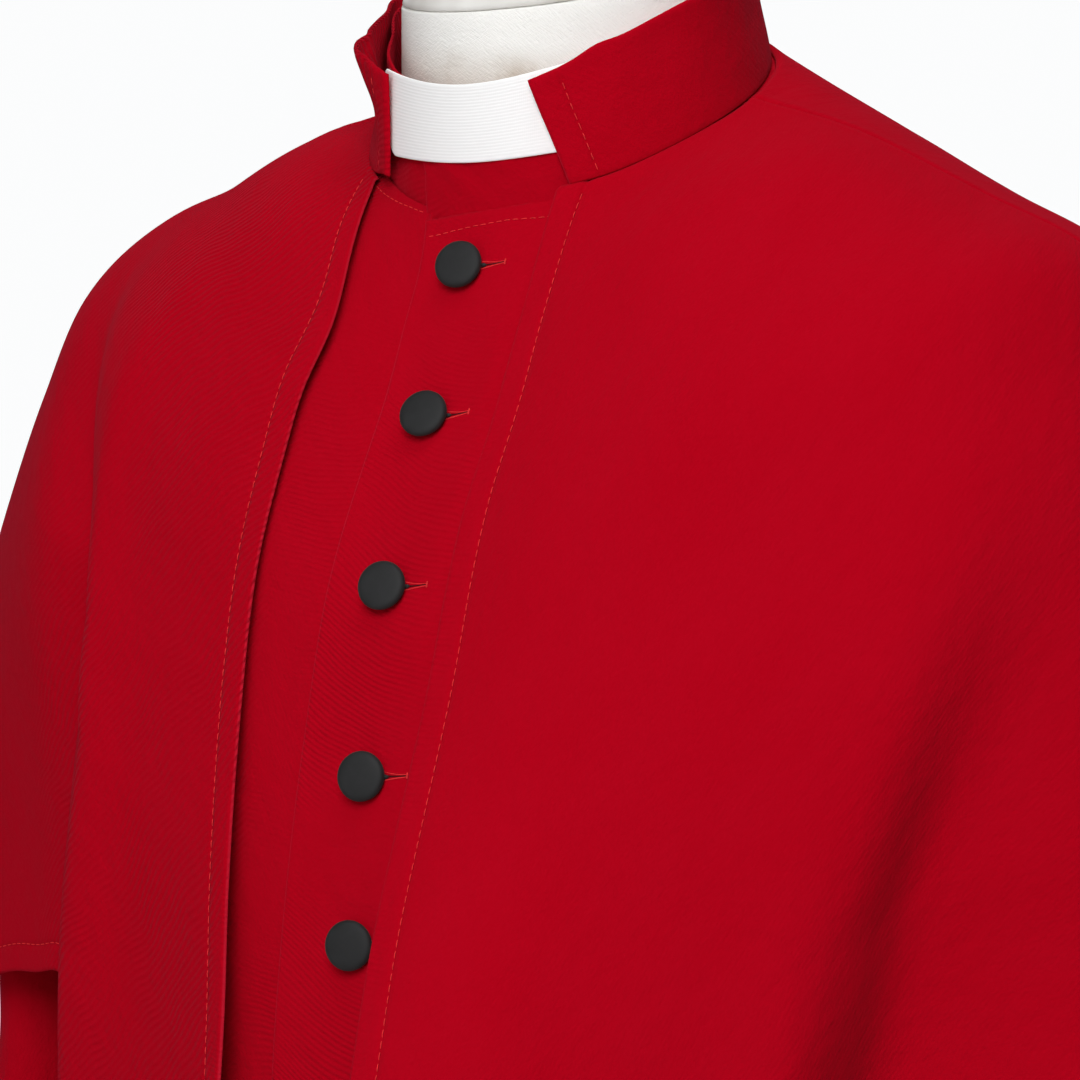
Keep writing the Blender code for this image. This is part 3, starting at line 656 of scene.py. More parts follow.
# ---------------------------------------------------------------- curves
def spline(knots, values, at):
    """A smooth curve through (knots, values): cubic pieces with matched slopes."""
    knots = np.asarray(knots, float)
    values = np.asarray(values, float)
    chords = np.diff(values) / np.diff(knots)
    slopes = np.empty_like(values)
    slopes[0], slopes[-1] = chords[0], chords[-1]
    before, after = np.diff(knots)[:-1], np.diff(knots)[1:]
    slopes[1:-1] = (chords[:-1] * after + chords[1:] * before) / (before + after)
    at = np.clip(at, knots[0], knots[-1])
    k = np.clip(np.searchsorted(knots, at, side="right") - 1, 0, len(knots) - 2)
    width = knots[k + 1] - knots[k]
    t = (at - knots[k]) / width
    return (
        (1 + 2 * t) * (1 - t) ** 2 * values[k]
        + t * (1 - t) ** 2 * width * slopes[k]
        + t * t * (3 - 2 * t) * values[k + 1]
        + t * t * (t - 1) * width * slopes[k + 1]
    )


def carried(rings, knots, at):
    """Rings of points carried smoothly through (knots, rings), at other places."""
    flat = rings.reshape(len(rings), -1)
    found = np.stack([spline(knots, flat[:, k], at) for k in range(flat.shape[1])], axis=-1)
    return found.reshape(len(at), *rings.shape[1:])


def smooth_step(value):
    value = np.clip(value, 0, 1)
    return value * value * (3 - 2 * value)


def hump(value, middle, width):
    """exp(-((value - middle) / width)^2), a rounded ridge."""
    return np.exp(-(((value - middle) / width) ** 2))


def run_along(line):
    """The distance of each point of a polyline from its first."""
    return np.concatenate([[0], np.cumsum(np.linalg.norm(np.diff(line, axis=0), axis=1))])


def along_line(line, at, run=None):
    """Values of a polyline's rows at these distances along it, or along another run."""
    run = run_along(line) if run is None else run
    return np.stack([np.interp(at, run, line[:, axis]) for axis in range(3)], axis=-1)


def turns_round(count):
    """Even turns of a full circle, in radians."""
    return np.arange(count) * math.tau / count


def unit(vectors):
    return vectors / np.linalg.norm(vectors, axis=-1, keepdims=True)


# ---------------------------------------------------------------- surfaces
def ring_values(rings, path):
    """The ring columns at any path, in metres, as a dict of arrays."""
    knots = [ring.path * MM for ring in rings]
    found = {}
    for name in Ring._fields[1:]:
        scale = 1.0 if name == "squareness" else MM
        column = [getattr(ring, name) * scale for ring in rings]
        found[name] = spline(knots, column, path)
    return found


def drape(cloth, angle, path):
    """Outward and upward moves, in metres.

    A fold is step(path) * exp(-|off / half angle| ** power), and a wave is
    depth * sin(turns * angle + 2 pi * per_metre * path + phase).
    """
    outwards = np.zeros(np.broadcast(angle, path).shape)
    upwards = outwards.copy()
    for fold in cloth.folds:
        share = (path / MM - fold.start) / (fold.full - fold.start)
        middle = fold.angle + (fold.hem_angle - fold.angle) * np.clip(share, 0, 1)
        off = np.abs((angle - middle + 180) % 360 - 180) / fold.half_angle
        shape = smooth_step(share) * np.exp(-(off**fold.power))
        outwards += fold.depth * MM * shape
        upwards += fold.lift * MM * shape
    free = smooth_step(path / cloth.still_path - 0.3)
    for wave in cloth.waves:
        turn = wave.turns * np.radians(angle) + math.tau * wave.per_metre * path + wave.phase
        outwards += wave.depth * MM * free * np.sin(turn)
    return outwards, upwards


def surface(cloth, angle, path):
    """A cloth's inner face: an oval of radius (|sin/w|^p + |cos/r|^p)^(-1/p) plus its
    drape, at height side + tilt * lean + sag * cos^2.
    """
    angle, path = np.broadcast_arrays(np.asarray(angle, float), np.asarray(path, float))
    size = ring_values(cloth.rings, path)
    across, ahead = np.sin(np.radians(angle)), np.cos(np.radians(angle))
    middle = size["middle"]
    reach = np.where(ahead > 0, size["front"] + middle, size["back"] - middle)
    power = size["squareness"]
    spread = np.abs(across / size["half_width"]) ** power + np.abs(ahead / reach) ** power
    outwards, upwards = drape(cloth, angle, path)
    radius = spread ** (-1 / power) + outwards
    tilt = (size["front_rise"] - size["back_rise"]) / 2
    sag = (size["front_rise"] + size["back_rise"]) / 2 - size["side_rise"]
    lean = ahead + YOKE_LEAN * smooth_step(path / YOKE_PATH) * (ahead**3 - ahead)
    height = NECK_PIT_HEIGHT + size["side_rise"] + tilt * lean + sag * ahead**2 + upwards
    return np.stack([radius * across, middle - radius * ahead, height], axis=-1)


def outward(cloth, angle, path):
    """Unit normals of that surface, pointing away from the neck's axis."""
    turn, step = 0.05, 0.2 * MM
    middle = np.clip(path, step, cloth.rings[-1].path * MM - step)
    along = surface(cloth, angle, middle + step) - surface(cloth, angle, middle - step)
    round_it = surface(cloth, angle + turn, path) - surface(cloth, angle - turn, path)
    return unit(np.cross(along, round_it) * (-1 if cloth.rises else 1))


def moved(cloth, angle, path, distance):
    """The surface moved outwards by a distance, which may be an array."""
    angle, path = np.broadcast_arrays(np.asarray(angle, float), np.asarray(path, float))
    distance = np.broadcast_to(distance, angle.shape)
    return surface(cloth, angle, path) + outward(cloth, angle, path) * distance[..., None]


AIMING_STEPS = 14


def angle_at_x(cloth, path, x):
    """The angle near the centre front where the surface crosses this x, by repeated aim."""
    middle = ring_values(cloth.rings, path)["middle"]
    angle = np.zeros_like(path)
    for _ in range(AIMING_STEPS):
        here = surface(cloth, angle, path)
        angle = np.degrees(np.arctan2(x, middle - here[..., 1]))
    return angle


def cape_edge_x(side, paths):
    """How far a front edge of the cape is from the middle, at these paths, in metres."""
    knots = [edge.path * MM for edge in CAPE_EDGES]
    return spline(knots, [getattr(edge, side) * MM for edge in CAPE_EDGES], paths)


def degrees_per_metre(cloth, angle, path):
    """How much angle one metre across the cloth takes, at an edge."""
    turn = 0.1
    step = surface(cloth, angle + turn, path) - surface(cloth, angle - turn, path)
    return 2 * turn / np.linalg.norm(step, axis=-1)


# ---------------------------------------------------------------- edges
# Distances in mm from an edge at which rows or columns of points lie.
STITCHED = [0, 0.1, 0.3, 0.75, 1.6, 3.2, 5.2, 7.2, 8.8, 9.8, 10.5, 11, 11.5, 12.2, 13.5, 15.5]
FOLDED = [0, 0.1, 0.3, 0.75, 1.5, 2.6, 4.0, 6.0]
SEWN = [0, 0.3, 0.7, 1.3, 2.2, 3.6]
CUT = [0, 0.2, 0.75]
NECK_STITCHING = [5, 5.8, 6.4, 6.8, 7.2, 7.8, 9, 11, 13, 15.5]
FAR = 1.0


def edge_relief(distance, edge, thick):
    """(outward moves in metres, share of the thickness) near an edge.

    A STITCHED edge has a pad of turned-in cloth with a ridge at its rim and a groove
    that the stitches pull in, a FOLDED one a low ridge, and a SEWN one a ridge that
    dips into the seam.  Rims are rounded as a half circle of the thickness.
    """
    far = distance / MM
    relief = np.zeros_like(far)
    if edge is STITCHED:
        pad = np.clip(1 - ((far - 5.2) / 5.8) ** 2, 0, 1) ** 0.6
        relief += 0.75 * pad - 0.45 * hump(far, 11, 0.8) + 0.5 * hump(far, 1.4, 1.0)
    if edge is FOLDED:
        relief += 0.25 * hump(far, 2.0, 2.2)
    if edge is SEWN:
        relief += 0.30 * hump(far, 2.4, 2.0) - 0.85 * hump(far, 0, 0.8)
    rim = np.ones_like(far)
    if edge is not SEWN:
        rim = np.sqrt(np.clip(1 - (1 - np.clip(distance / (thick / 2), 0, 1)) ** 2, 0.004, 1))
    return relief * MM, rim


def spread(first, last, zone_first, zone_last, count):
    """(places, from the first edge, from the last edge): dense near the two edges."""
    near = np.array(zone_first) * MM
    far = last - first - np.array(zone_last)[::-1] * MM
    free = np.linspace(near[-1], far[0], count + 2)[1:-1]
    run = np.concatenate([near, free, far])
    return first + run, run, last - first - run


def panel_columns(cloth, paths, start, end, zones, count):
    """Angles of a panel's columns at each row, with each one's distance from both edges.

    Outside the zones near its edges a column counts as FAR away from them.
    """
    near, far = (np.array(zone) * MM for zone in zones)
    first = start[:, None] + near[None, :] * degrees_per_metre(cloth, start, paths)[:, None]
    last = end[:, None] - far[None, ::-1] * degrees_per_metre(cloth, end, paths)[:, None]
    shares = np.linspace(0, 1, count + 2)[1:-1][None, :]
    free = first[:, -1:] + (last[:, :1] - first[:, -1:]) * shares
    from_start = np.concatenate([near, np.full(count + len(far), FAR)])[None, :]
    from_end = np.concatenate([np.full(len(near) + count, FAR), far[::-1]])[None, :]
    return np.concatenate([first, free, last], axis=1), from_start, from_end


def unmoved(angles, down):
    return 0.0


def panel(name, cloth, rows, ends, count, edges, thick, lift=unmoved, slide=unmoved):
    """A cloth panel: a wall between two faces, its rims rounded and its edges in relief.

    rows is (paths, from the top, from the hem); ends holds its start and end angles at
    each path; edges is the kind of the top, hem, start and end edges.  lift moves the
    cloth outwards and slide moves it down, as functions of the angles and paths.
    """
    paths, from_top, from_hem = rows
    down = paths[:, None]
    angles, from_start, from_end = panel_columns(cloth, paths, *ends, edges[2:], count)
    distances = (from_top[:, None], from_hem[:, None], from_start, from_end)
    relief = np.zeros(angles.shape)
    rim = np.ones(angles.shape)
    for distance, edge in zip(distances, edges):
        more, less = edge_relief(distance + 0 * angles, edge, thick)
        relief = relief + more
        rim = rim * less
    base = lift(angles, down) + relief + thick / 2
    grid = down + slide(angles, down) + 0 * angles
    points = surface(cloth, angles, grid)
    normals = outward(cloth, angles, grid)
    outer = points + normals * (base + rim * thick / 2)[..., None]
    inner = points + normals * (base - rim * thick / 2)[..., None]
    steps = np.linalg.norm(np.diff(outer, axis=1), axis=-1)
    run = np.concatenate([np.zeros((len(paths), 1)), np.cumsum(steps, axis=1)], axis=1)
    if edges[2] is SEWN:
        run = run[:, -1:] - run
    flat = np.stack([run, grid], axis=-1)
    if cloth.rises:
        outer, inner, flat = outer[::-1], inner[::-1], flat[::-1]
    return wall(name, outer, inner, flat, red_cloth())


# ---------------------------------------------------------------- meshes
def grid_quads(index, wrap):
    """Quads over a grid of vertex numbers, facing row direction x column direction."""
    left = index if wrap else index[:, :-1]
    right = np.roll(index, -1, axis=1) if wrap else index[:, 1:]
    quads = np.stack([left[:-1], left[1:], right[1:], right[:-1]], axis=-1)
    return quads.reshape(-1, 4)


def strip_quads(first, second):
    """Quads between two rows of vertex numbers of the same length."""
    return np.stack([first[:-1], second[:-1], second[1:], first[1:]], axis=-1)


def make_mesh(name, points, faces, flat, look):
    """A smooth piece that rides on the root body, from points and arrays of faces."""
    mesh = bpy.data.meshes.new(name)
    faces = [face for part in faces for face in part.tolist()]
    mesh.from_pydata(points.reshape(-1, 3).tolist(), [], faces)
    if flat is not None:
        corners = np.empty(len(mesh.loops), np.int32)
        mesh.loops.foreach_get("vertex_index", corners)
        layer = mesh.uv_layers.new(name="cloth")
        layer.data.foreach_set("uv", flat.reshape(-1, 2)[corners].astype(np.float32).ravel())
    mesh.materials.append(look)
    mesh.shade_smooth()
    mesh.validate()
    piece = bpy.data.objects.new(name, mesh)
    bpy.context.scene.collection.objects.link(piece)
    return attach(piece, "root")


def wall(name, outer, inner, flat, look, wrap=False):
    """A closed wall between two grids of points, with a strip along each open edge."""
    rows, columns = outer.shape[:2]
    out = np.arange(rows * columns).reshape(rows, columns)
    into = out + rows * columns
    faces = [grid_quads(out, wrap), grid_quads(into, wrap)[:, ::-1]]
    top_out, top_in = (np.append(n[0], n[0, 0]) if wrap else n[0] for n in (out, into))
    low_out, low_in = (np.append(n[-1], n[-1, 0]) if wrap else n[-1] for n in (out, into))
    faces.append(strip_quads(top_in, top_out))
    faces.append(strip_quads(low_out, low_in))
    if not wrap:
        faces.append(strip_quads(out[:, 0], into[:, 0]))
        faces.append(strip_quads(into[:, -1], out[:, -1]))
    points = np.concatenate([outer.reshape(-1, 3), inner.reshape(-1, 3)])
    both = np.concatenate([flat.reshape(-1, 2), flat.reshape(-1, 2)])
    return make_mesh(name, points, faces, both, look)


def capped_rings(steps, sides):
    """(quads, fans) round rings of points, whose first and last middles follow them."""
    index = np.arange(steps * sides).reshape(steps, sides)
    first, last = index[0], index[-1]
    top, bottom = np.full(sides, steps * sides), np.full(sides, steps * sides + 1)
    fans = [
        np.stack([first, np.roll(first, -1), top], axis=-1),
        np.stack([np.roll(last, -1), last, bottom], axis=-1),
    ]
    return grid_quads(index, True), np.concatenate(fans)


def solid_of_rings(name, rings, look):
    """A closed solid through rings of points from top to bottom, each end a fan."""
    ends = [rings[0].mean(axis=0), rings[-1].mean(axis=0)]
    points = np.concatenate([rings.reshape(-1, 3), ends])
    return make_mesh(name, points, capped_rings(*rings.shape[:2]), None, look)


def tubes(name, centres, radii, upward, look, sides=6):
    """Closed tubes, all at once: each carries a circle of its own radius along its centres.

    centres is (tubes, steps, 3), radii (steps,) and upward (tubes, 3), square to the cloth.
    """
    count, steps = centres.shape[:2]
    along = unit(np.gradient(centres, axis=1))
    side = unit(np.cross(along, upward[:, None, :]))
    over = np.cross(side, along)
    turns = turns_round(sides)[None, None, :, None]
    spokes = np.cos(turns) * side[:, :, None, :] + np.sin(turns) * over[:, :, None, :]
    rings = centres[:, :, None, :] + spokes * np.asarray(radii)[None, :, None, None]
    ends = [centres[:, [0]], centres[:, [-1]]]
    points = np.concatenate([rings.reshape(count, -1, 3), *ends], axis=1)
    offsets = (np.arange(count) * (steps * sides + 2))[:, None, None]
    parts = (part[:, ::-1] for part in capped_rings(steps, sides))
    faces = [(part + offsets).reshape(-1, part.shape[1]) for part in parts]
    return make_mesh(name, points, faces, None, look)


def stands_for(piece, node):
    """Hides the CAD node whose place the piece takes."""
    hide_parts(node)


def red_cloth():
    return shared_look("red_gabardine", cloth_look)


def red_thread():
    return shared_look("orange_red_thread", thread_look, "orange_red_thread", colours().thread)


FIRST_STITCH = 0.6 * MM


def stitch_row(name, lines, share=1.0):
    """Thread stitches along lines of (points, normals), at a share of the usual length.

    Each is a short tube that rises from the cloth as a half wave and dives back.
    """
    size = sizes()
    length, pitch = size.stitch_length * share, size.stitch_pitch * share
    shares = np.array([0, 0.14, 0.5, 0.86, 1.0])
    rise = np.array([-0.35, 0.35, 0.75, 0.35, -0.35]) * size.thread_radius
    radii = np.array([0.55, 0.9, 1.0, 0.9, 0.55]) * size.thread_radius
    centres, normals = [], []
    for line, facing in lines:
        run = run_along(line)
        starts = np.arange(FIRST_STITCH, run[-1] - length, pitch)
        at = starts[:, None] + shares[None, :] * length
        up = unit(along_line(facing, starts + length / 2, run))
        points = along_line(line, at.ravel()).reshape(*at.shape, 3)
        centres.append(points + up[:, None, :] * rise[None, :, None])
        normals.append(up)
    piece = tubes(name, np.concatenate(centres), radii, np.concatenate(normals), red_thread())
    return piece


def line_on(cloth, angle, path, height):
    """(points, normals) of a line on a cloth, for its stitches."""
    return moved(cloth, angle, path, height), outward(cloth, angle, path)


# ---------------------------------------------------------------- the cassock's cloth
def armhole_paths(turns):
    """Paths on an armhole's rim, from its top: middle - half * cos(turn)."""
    middle = (ARMHOLE_TOP_PATH + ARMHOLE_FOOT_PATH) / 2
    return middle - (ARMHOLE_FOOT_PATH - ARMHOLE_TOP_PATH) / 2 * np.cos(turns)


def armhole_turns(count):
    return np.radians(np.linspace(0, 180, count + 1))


def body_rows():
    """((paths, from the neck, from the hem), armhole half angles) of the cassock's rows."""
    yoke, _, _ = spread(0.0, ARMHOLE_TOP_PATH - 4 * MM, SEWN + NECK_STITCHING, [0], 24)
    turns = armhole_turns(40)
    skirt, _, _ = spread(ARMHOLE_FOOT_PATH + 4 * MM, SKIRT_HEM_PATH, [0], FOLDED, 190)
    paths = np.concatenate([yoke, armhole_paths(turns), skirt])
    cut = np.concatenate([0 * yoke, ARMHOLE_HALF_ANGLE * np.sin(turns), 0 * skirt])
    return (paths, paths, SKIRT_HEM_PATH - paths), cut


def neckline_dip(table, angles, paths):
    """How far a neckline dips below its ring: the table's value * exp(-path / reach)."""
    return np.interp(angles, *zip(*table)) * MM * np.exp(-np.clip(paths, 0, 1) / DIP_REACH)


def left_front_over(angles):
    """Share by which the left front lies over the right one, from 1 at the lap to 0."""
    return 1 - smooth_step((angles - 12) / 16)


def left_lift(angles, down):
    """How far the left front lies outside the inner layer: a cloth and a gap more over
    the lap, and less in the dip beside the cape's edge.
    """
    from_cape = surface(CASSOCK, angles, down)[..., 0] - cape_edge_x("left_x", down)
    sunk = hump(from_cape / MM, 0.5, 5.5) * smooth_step(down / 0.05)
    return left_front_over(angles) * (sizes().cloth + LAYER_GAP) - sunk * CHEST_DIP


def make_fronts():
    rows, cut = body_rows()
    paths, thick = rows[0], sizes().cloth
    edge = angle_at_x(CASSOCK, paths, spline(*zip(*LEFT_FRONT_EDGE), paths / MM) * MM)
    dip = partial(neckline_dip, LEFT_NECKLINE)
    kinds = (SEWN, FOLDED, FOLDED, SEWN)
    ends = (edge, 90 - cut)
    left = panel("front_left_cloth", CASSOCK, rows, ends, 64, kinds, thick, left_lift, dip)
    ends = (-90 + cut, angle_at_x(CASSOCK, paths, RIGHT_FRONT_EDGE_X))
    dip = partial(neckline_dip, RIGHT_NECKLINE)
    kinds = (SEWN, FOLDED, SEWN, FOLDED)
    return left, panel("front_right_cloth", CASSOCK, rows, ends, 64, kinds, thick, slide=dip)


def make_back():
    rows, cut = body_rows()
    kinds = (SEWN, FOLDED, SEWN, SEWN)
    return panel("back_cloth", CASSOCK, rows, (90 + cut, 270 - cut), 120, kinds, sizes().cloth)


def sleeve_rings(turns, lift, alongs):
    """Rings of a sleeve: ovals carried down the arm by a smooth curve through its sections."""
    rim = 90 + ARMHOLE_HALF_ANGLE * np.sin(turns)
    rings = [moved(CASSOCK, rim, armhole_paths(turns), lift)]
    for section in SLEEVE_SECTIONS:
        tilt = math.radians(section.turn)
        out = (section.half_out * MM + lift) * np.cos(turns)
        deep = (section.half_deep * MM + lift) * np.sin(turns)
        x = section.middle_x * MM + out * math.sin(tilt)
        height = NECK_PIT_HEIGHT + section.rise * MM + out * math.cos(tilt)
        rings.append(np.stack([x, section.middle_y * MM + deep, height], axis=-1))
    knots = [0.0] + [section.along * MM for section in SLEEVE_SECTIONS]
    return carried(np.array(rings), knots, alongs)


def make_sleeves():
    """Hanging sleeves with a turned cuff, and shallow rumples in mm:
    1.3 * sin(48 s + 1.7 sin t) * cos(2 t + 0.6) + 0.8 * sin(91 s + 2 t + 1), for the
    distance s along the arm and the turn t round it.
    """
    thick, turns = sizes().cloth, turns_round(96)
    alongs, _, from_cuff = spread(0.0, SLEEVE_LENGTH, SEWN, STITCHED, 90)
    inner, outer = (sleeve_rings(turns, lift, alongs) for lift in (0.0, thick))
    facing = unit(outer - inner)
    down = alongs[:, None]
    rumple = 1.3 * np.sin(down * 48 + 1.7 * np.sin(turns)) * np.cos(turns * 2 + 0.6)
    rumple += 0.8 * np.sin(down * 91 + turns * 2 + 1)
    rumple *= smooth_step(down / 0.06 - 0.4)
    relief, rim = edge_relief(from_cuff[:, None] + 0 * rumple, STITCHED, thick)
    middle = (inner + outer) / 2 + facing * (rumple * MM + relief)[..., None]
    half = facing * (rim * thick / 2)[..., None]
    # The map starts beyond the width of the painted edge highlight, because a sleeve has no such
    # edge.
    flat = np.stack([turns * ARM_RADIUS + 0.01 + 0 * rumple, down + 0.01 + 0 * rumple], axis=-1)
    left = wall("sleeve_left_cloth", middle + half, middle - half, flat, red_cloth(), wrap=True)
    faces = [(face * (-1, 1, 1))[:, ::-1] for face in (middle + half, middle - half)]
    return left, wall("sleeve_right_cloth", *faces, flat, red_cloth(), wrap=True)


# ---------------------------------------------------------------- cape, collar, band, tab
def cape_rows():
    return spread(CAPE_TUCK_PATH, CAPE_HEM_PATH, SEWN, STITCHED, 120)


def cape_edges(paths):
    left = angle_at_x(CAPE, paths, cape_edge_x("left_x", paths))
    right = angle_at_x(CAPE, paths, cape_edge_x("right_x", paths))
    return left, right


def make_cape():
    rows = cape_rows()
    left_edge, right_edge = cape_edges(rows[0])
    side = np.full_like(rows[0], 90.0)
    plan = (
        ("cape_front_left_cloth", left_edge, side, STITCHED, SEWN, 90),
        ("cape_back_cloth", side, side + 180, SEWN, SEWN, 210),
        ("cape_front_right_cloth", -side, right_edge, SEWN, STITCHED, 110),
    )
    return [
        panel(name, CAPE, rows, (start, end), count, (SEWN, STITCHED, *kinds), sizes().cloth)
        for name, start, end, *kinds, count in plan
    ]


def collar_ends(heights):
    """Angles of the collar's left and right end at these heights."""
    ends = []
    for foot_x, head_x in (COLLAR_LEFT_END, COLLAR_RIGHT_END):
        x = (foot_x + (head_x - foot_x) * heights / COLLAR_HEIGHT) * MM
        ends.append(angle_at_x(COLLAR, heights, x))
    return ends


def make_collar():
    rows = spread(0.0, COLLAR_HEIGHT, CUT, FOLDED, 18)
    start, end = collar_ends(rows[0])
    kinds = (CUT, FOLDED, STITCHED, STITCHED)
    thick = sizes().collar_cloth
    return panel("cape_collar_cloth", COLLAR, rows, (start, end + 360), 150, kinds, thick)


def make_neck_band():
    """The cassock's stand: wound once round the neck, its left end lying on its right end."""
    rows = spread(BAND_FOOT, BAND_HEIGHT, CUT, FOLDED, 14)
    under = angle_at_x(STAND, rows[0], RIGHT_FRONT_EDGE_X)
    over = angle_at_x(STAND, rows[0], BAND_LEFT_END_X) - 360

    def lift(angles, down):
        shares = (under[:, None] - angles) / (under - over)[:, None]
        return (BAND_CLOTH + LAYER_GAP) * smooth_step(shares) - COLLAR_INSET - BAND_CLOTH

    kinds = (CUT, FOLDED, FOLDED, FOLDED)
    return panel("neck_band_cloth", STAND, rows, (over, under), 150, kinds, BAND_CLOTH, lift)


def corner(from_end, radius):
    """How far a rounded corner cuts in: r - sqrt(r^2 - (r - distance from the end)^2)."""
    inside = np.clip(radius - from_end, 0, radius)
    return radius - np.sqrt(radius**2 - inside**2)


def make_tab():
    """A nearly straight ribbed strip, tucked behind both ends of the outer collar."""
    thick = sizes().tab_cloth
    first, last = TAB_ANGLES
    rounded = np.linspace(first, first + 5, 24)[:-1]
    angles = np.append(rounded, np.linspace(first + 5, last, 100))[None, :]
    from_end = np.radians(angles - first) * TAB_RADIUS
    seam = surface(TAB_STAND, angles, 0 * angles)[..., 2] - NECK_PIT_HEIGHT
    levels, from_foot, from_head = spread(TAB_FOOT, TAB_HEAD, FOLDED[:5], FOLDED[:5], 90)
    foot = TAB_FOOT + corner(from_end, 4.5 * MM)
    head = TAB_HEAD - corner(from_end, 1.5 * MM)
    shares = (levels - TAB_FOOT)[:, None] / (TAB_HEAD - TAB_FOOT)
    heights = foot + (head - foot) * shares - TAB_STRAIGHT * seam
    base = BAND_CLOTH + LAYER_GAP + TAB_AHEAD - COLLAR_INSET + thick / 2
    rim = edge_relief(from_foot, CUT, thick)[1] * edge_relief(from_head, CUT, thick)[1]
    ribs = 0.022 * MM * np.sin(levels * TAB_RIBS)
    lifts = (base + rim * thick / 2 + ribs, base - rim * thick / 2)
    outer, inner = (moved(TAB_STAND, angles, heights, lift[:, None])[::-1] for lift in lifts)
    flat = np.stack([from_end + 0 * heights, levels[:, None] + 0 * heights], axis=-1)[::-1]
    return wall("collar_tab_cloth", outer, inner, flat, shared_look("ribbed_white_tab", tab_look))


# ---------------------------------------------------------------- stitches, buttons
def inside_edges(cloth, ends, paths, height):
    """Lines that run at the stitches' inset inside a cloth's left and right edges."""
    inset = sizes().stitch_inset
    angles = [
        end + way * inset * degrees_per_metre(cloth, end, paths) for end, way in zip(ends, (1, -1))
    ]
    return angles, [line_on(cloth, angle, paths, height) for angle in angles]


def make_stitches():
    """Topstitching on the cape, the collar and the neck seam."""
    size = sizes()
    hem = CAPE_HEM_PATH - size.stitch_inset
    height = size.cloth - THREAD_SUNK
    paths = np.linspace(CAPE_NECK_PATH + 4 * MM, hem, 160)
    (left, right), lines = inside_edges(CAPE, cape_edges(paths), paths, height)
    round_it = np.linspace(left[-1], 360 + right[-1], 500)
    stitch_row("cape_stitches", [*lines, line_on(CAPE, round_it, 0 * round_it + hem, height)])

    paths = np.linspace(2 * MM, COLLAR_HEIGHT - 3 * MM, 24)
    height = size.collar_cloth - THREAD_SUNK
    _, lines = inside_edges(COLLAR, collar_ends(paths), paths, height)
    stitch_row("collar_stitches", lines)

    over, under = np.linspace(-16, 88, 90), np.linspace(-88, -21.3, 60)
    back = np.linspace(92, 268, 120)
    single = size.cloth + 0.05 * MM
    double = single + left_front_over(over) * (size.cloth + LAYER_GAP)
    lines = []
    for angles, height in ((over, double), (under, single), (back, single)):
        down = np.interp(angles, *zip(*NECK_STITCHES)) * MM
        lines.append(line_on(CASSOCK, angles, down, height))
    stitch_row("neck_seam_stitches", lines, 0.85)


def front_feet():
    """(feet, normals, paths) of the buttons, along the left front's middle line."""
    yoke = np.linspace(0, ARMHOLE_TOP_PATH, 7)[:-1]
    skirt = np.array(SKIRT_STEPS) * MM
    paths = np.concatenate([yoke, armhole_paths(armhole_turns(ARMHOLE_STEPS)), skirt])
    still = CASSOCK._replace(waves=[])
    line = moved(still, 0 * paths, paths, 2 * sizes().cloth + LAYER_GAP)
    drops = FIRST_BUTTON_DROP + BUTTON_SPACING * np.arange(BUTTON_COUNT)
    drops[: len(BUTTON_SHIFTS)] += np.array(BUTTON_SHIFTS) * MM
    at = np.interp(drops, run_along(line), paths)
    return along_line(line, drops), outward(still, 0 * at, at), at


def make_buttons():
    """Domed cloth-covered buttons: a profile turned about each foot's normal."""
    shares, heights = (np.array(column) for column in zip(*BUTTON_PROFILE))
    radii, heights = shares * sizes().button_radius, heights * MM
    turns = turns_round(sizes().button_sides)[:, None]
    look = shared_look("button_black", button_look)
    feet, normals, _ = front_feet()
    lean = math.radians(BUTTON_TILT)
    level = np.array([1.0, 0.0, 0.0])
    for number, (foot, normal) in enumerate(zip(feet, normals), 1):
        across = level * math.cos(lean) - normal * math.sin(lean)
        normal = normal * math.cos(lean) + level * math.sin(lean)
        spokes = np.sin(turns) * across + np.cos(turns) * np.cross(normal, across)
        rings = foot + normal * heights[:, None, None] + spokes[None] * radii[:, None, None]
        piece = solid_of_rings(f"button_{number:02d}_cover", rings[:, ::-1], look)
        stands_for(piece, f"button_{number:02d}")


def cords(name, offsets, reach, height, radii, look):
    """A cord beside each button: reach is its x, offsets how far it lies below, in mm."""
    lift = 2 * sizes().cloth + LAYER_GAP + height * MM
    lines, normals = [], []
    for path in front_feet()[2]:
        down = path + offsets * MM
        angle = angle_at_x(CASSOCK, down, reach * MM)
        lines.append(moved(CASSOCK, angle, down, lift))
        normals.append(outward(CASSOCK, angle[:1], down[:1])[0])
    piece = tubes(name, np.array(lines), radii * MM, np.array(normals), look, 8)
    return piece


def make_buttonholes():
    """Two cords of satin stitches beside each slit, drawn apart by the shank, and a bar.

    The slit slopes down from the button, and opens by 0.35 + 1.35 * a hump beside it.
    """
    reach = np.linspace(4.0, 17.6, 22)
    opened = 0.35 + 1.35 * hump(reach, 5, 7)
    slope = 0.10 * (reach - 4) - 0.7
    ends = np.sqrt(np.clip(1 - np.linspace(-1, 1, 22) ** 8, 0.15, 1))
    bar = np.linspace(-1.1, 1.1, 7)
    shank = np.linspace(3.0, 10.4, 22)
    red, black = red_thread(), shared_look("button_black", button_look)
    dark = shared_look("slit_shadow", thread_look, "slit_shadow", (0.07, 0.0, 0.002))
    cords("buttonhole_upper_cords", slope - opened, reach, 0.02, 0.16 * ends, red)
    cords("buttonhole_lower_cords", slope + opened, reach, 0.06, 0.22 * ends, red)
    # Painted shadow: a dark tube in each opened slit stands for the shade inside it.
    cords("buttonhole_slit_shadows", slope, reach, -0.08, (0.10 + 0.28 * opened) * ends, dark)
    cords("buttonhole_bars", bar + slope[-1], 17.8 + 0 * bar, 0.10, 0.32 * ends[::3][:7], red)
    cords("button_shank_threads", 0.1 * shank - 0.9, shank, 0.5, 0.8 * ends, black)


